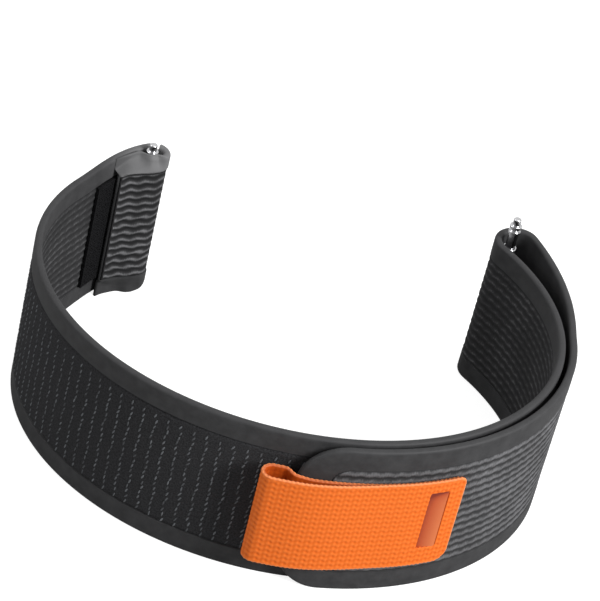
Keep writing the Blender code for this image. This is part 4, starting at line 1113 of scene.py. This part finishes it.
def springHalf(side, centre, end, direction):
    # half of the coil spring, from the barrel's middle to one tip
    shares = np.linspace(0.0, 1.0, int(coil["halfTurns"] * coil["steps"]) + 1)
    turns = direction * 2 * math.pi * coil["halfTurns"] * shares
    heights = direction * (coil["halfLength"] - coil["wire"]) * shares
    flat = 0.0 * turns
    outward = np.stack((np.cos(turns), np.sin(turns), flat), -1)
    around = 2 * math.pi * np.arange(coil["wireSides"]) / coil["wireSides"]
    line = coil["windRadius"] * outward + np.stack((flat, flat, heights), -1)
    points = (line[:, None] + coil["wire"] * (np.cos(around)[None, :, None] * outward[:, None]
              + np.sin(around)[None, :, None] * np.array((0.0, 0.0, 1.0))))
    piece = ringPiece(f"{side}_{end}_spring", points, centre, order=direction)
    finishPiece(piece, "spring_steel", [side + "_bar_spring"], side + "_bar")
    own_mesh(piece)


for side in ("left", "right"):
    barrelBox = np.array(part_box(side + "_bar_barrel"))
    barCentre = (barrelBox[0] + barrelBox[1]) / 2
    springBar(side, barCentre)
    springHalf(side, barCentre, "upper", 1)
    springHalf(side, barCentre, "lower", -1)
print("spring bars made")

stage = {"floorSize": 1.2, "floorColour": "#AAAAAA", "floorGlow": 0.85, "worldStrength": 0.36,
         "reflectedFront": 0.35}


def setStage():
    # a plain white floor that keeps the object's shadow, and an even white surround
    bpy.ops.mesh.primitive_plane_add(size=stage["floorSize"])
    floor = bpy.context.object
    floor.name = "floor"
    paper = NodeTree(bpy.data.materials.new("matt_white_paper"))
    paper.change("Principled BSDF", {
        "Base Color": fromHex(stage["floorColour"]), "Roughness": 0.95, "Specular IOR Level": 0.0})
    seen = paper.add("ShaderNodeLightPath", output="Is Camera Ray")
    glow = paper.math("MULTIPLY", seen, stage["floorGlow"])
    lit = paper.add("ShaderNodeEmission", (), {"Strength": glow})
    surface = paper.nodes["Principled BSDF"].outputs["BSDF"]
    floor.data.materials.append(paper.change("Material Output", {}, {
        "Surface": paper.add("ShaderNodeAddShader", (), {0: surface, 1: lit})}))
    world = bpy.data.worlds.new("studio")
    bpy.context.scene.world = world
    # seen directly it is white; in reflections it is dark in front and bright behind; it lights faintly
    studio = NodeTree(world)
    direction = studio.add("ShaderNodeTexCoord", output="Generated")
    reflected = studio.add("ShaderNodeMapRange", {
        "From Min": -0.6, "From Max": 0.2, "To Min": stage["reflectedFront"], "To Max": 1.0}, {
        "Value": studio.add("ShaderNodeSeparateXYZ", (), {"Vector": direction}, "Y")})
    glossy = studio.add("ShaderNodeLightPath", output="Is Glossy Ray")
    seen = studio.add("ShaderNodeLightPath", output="Is Camera Ray")
    strength = studio.math("MAXIMUM", studio.math("MULTIPLY", reflected, glossy), seen)
    studio.change("Background", {"Color": (1.0, 1.0, 1.0, 1.0)}, {
        "Strength": studio.math("MAXIMUM", strength, stage["worldStrength"])})


# A strong key from the right, weak light from the front and above, and a fill from the left
lamps = {
    "key": {"place": (0.42, -0.22, 0.32), "size": 0.20, "power": 4.2},
    "front": {"place": (-0.05, -0.50, 0.22), "size": 0.25, "power": 0.15},
    "top": {"place": (0.05, 0.05, 0.50), "size": 0.30, "power": 0.5},
    "fill": {"place": (-0.42, -0.05, 0.26), "size": 0.30, "power": 0.75},
}
middle = Vector((*ovalCentre, width / 2))


def addLamps():
    for name, values in lamps.items():
        light = bpy.data.lights.new(name, "AREA")
        light.size = values["size"]
        light.energy = values["power"]
        lamp = bpy.data.objects.new(name, light)
        lamp.location = values["place"]
        lamp.rotation_euler = (middle - lamp.location).to_track_quat("-Z", "Y").to_euler()
        bpy.context.scene.collection.objects.link(lamp)


view = {"aimRight": 0.080 * mm, "aimUp": 7.157 * mm, "roll": math.radians(14.124),
        "elevation": math.radians(36.900), "azimuth": math.radians(1.105), "distance": 374.9 * mm,
        "lens": 180.0, "sensor": 36.0}


def addCamera():
    # the photograph's viewpoint: in front and a little above, and rolled
    turn, tilt, roll = view["azimuth"], view["elevation"], view["roll"]
    right = Vector((math.cos(turn), math.sin(turn), 0.0))
    ahead = Vector((-math.sin(turn), math.cos(turn), 0.0))
    forward = ahead * math.cos(tilt) - Vector((0.0, 0.0, math.sin(tilt)))
    above = ahead * math.sin(tilt) + Vector((0.0, 0.0, math.cos(tilt)))
    place = middle + right * view["aimRight"] + above * view["aimUp"] - forward * view["distance"]
    pictureRight = right * math.cos(roll) + above * math.sin(roll)
    pictureUp = above * math.cos(roll) - right * math.sin(roll)
    data = bpy.data.cameras.new("photo_view")
    data.sensor_fit = "HORIZONTAL"
    data.sensor_width = view["sensor"]
    data.lens = view["lens"]
    camera = bpy.data.objects.new("photo_view", data)
    turned = Matrix((pictureRight, pictureUp, -forward)).transposed().to_4x4()
    camera.matrix_world = Matrix.Translation(place) @ turned
    bpy.context.scene.collection.objects.link(camera)
    bpy.context.scene.camera = camera


setStage()
addLamps()
addCamera()
bpy.context.scene.view_settings.view_transform = "Standard"
print("stage, lamps and camera set")
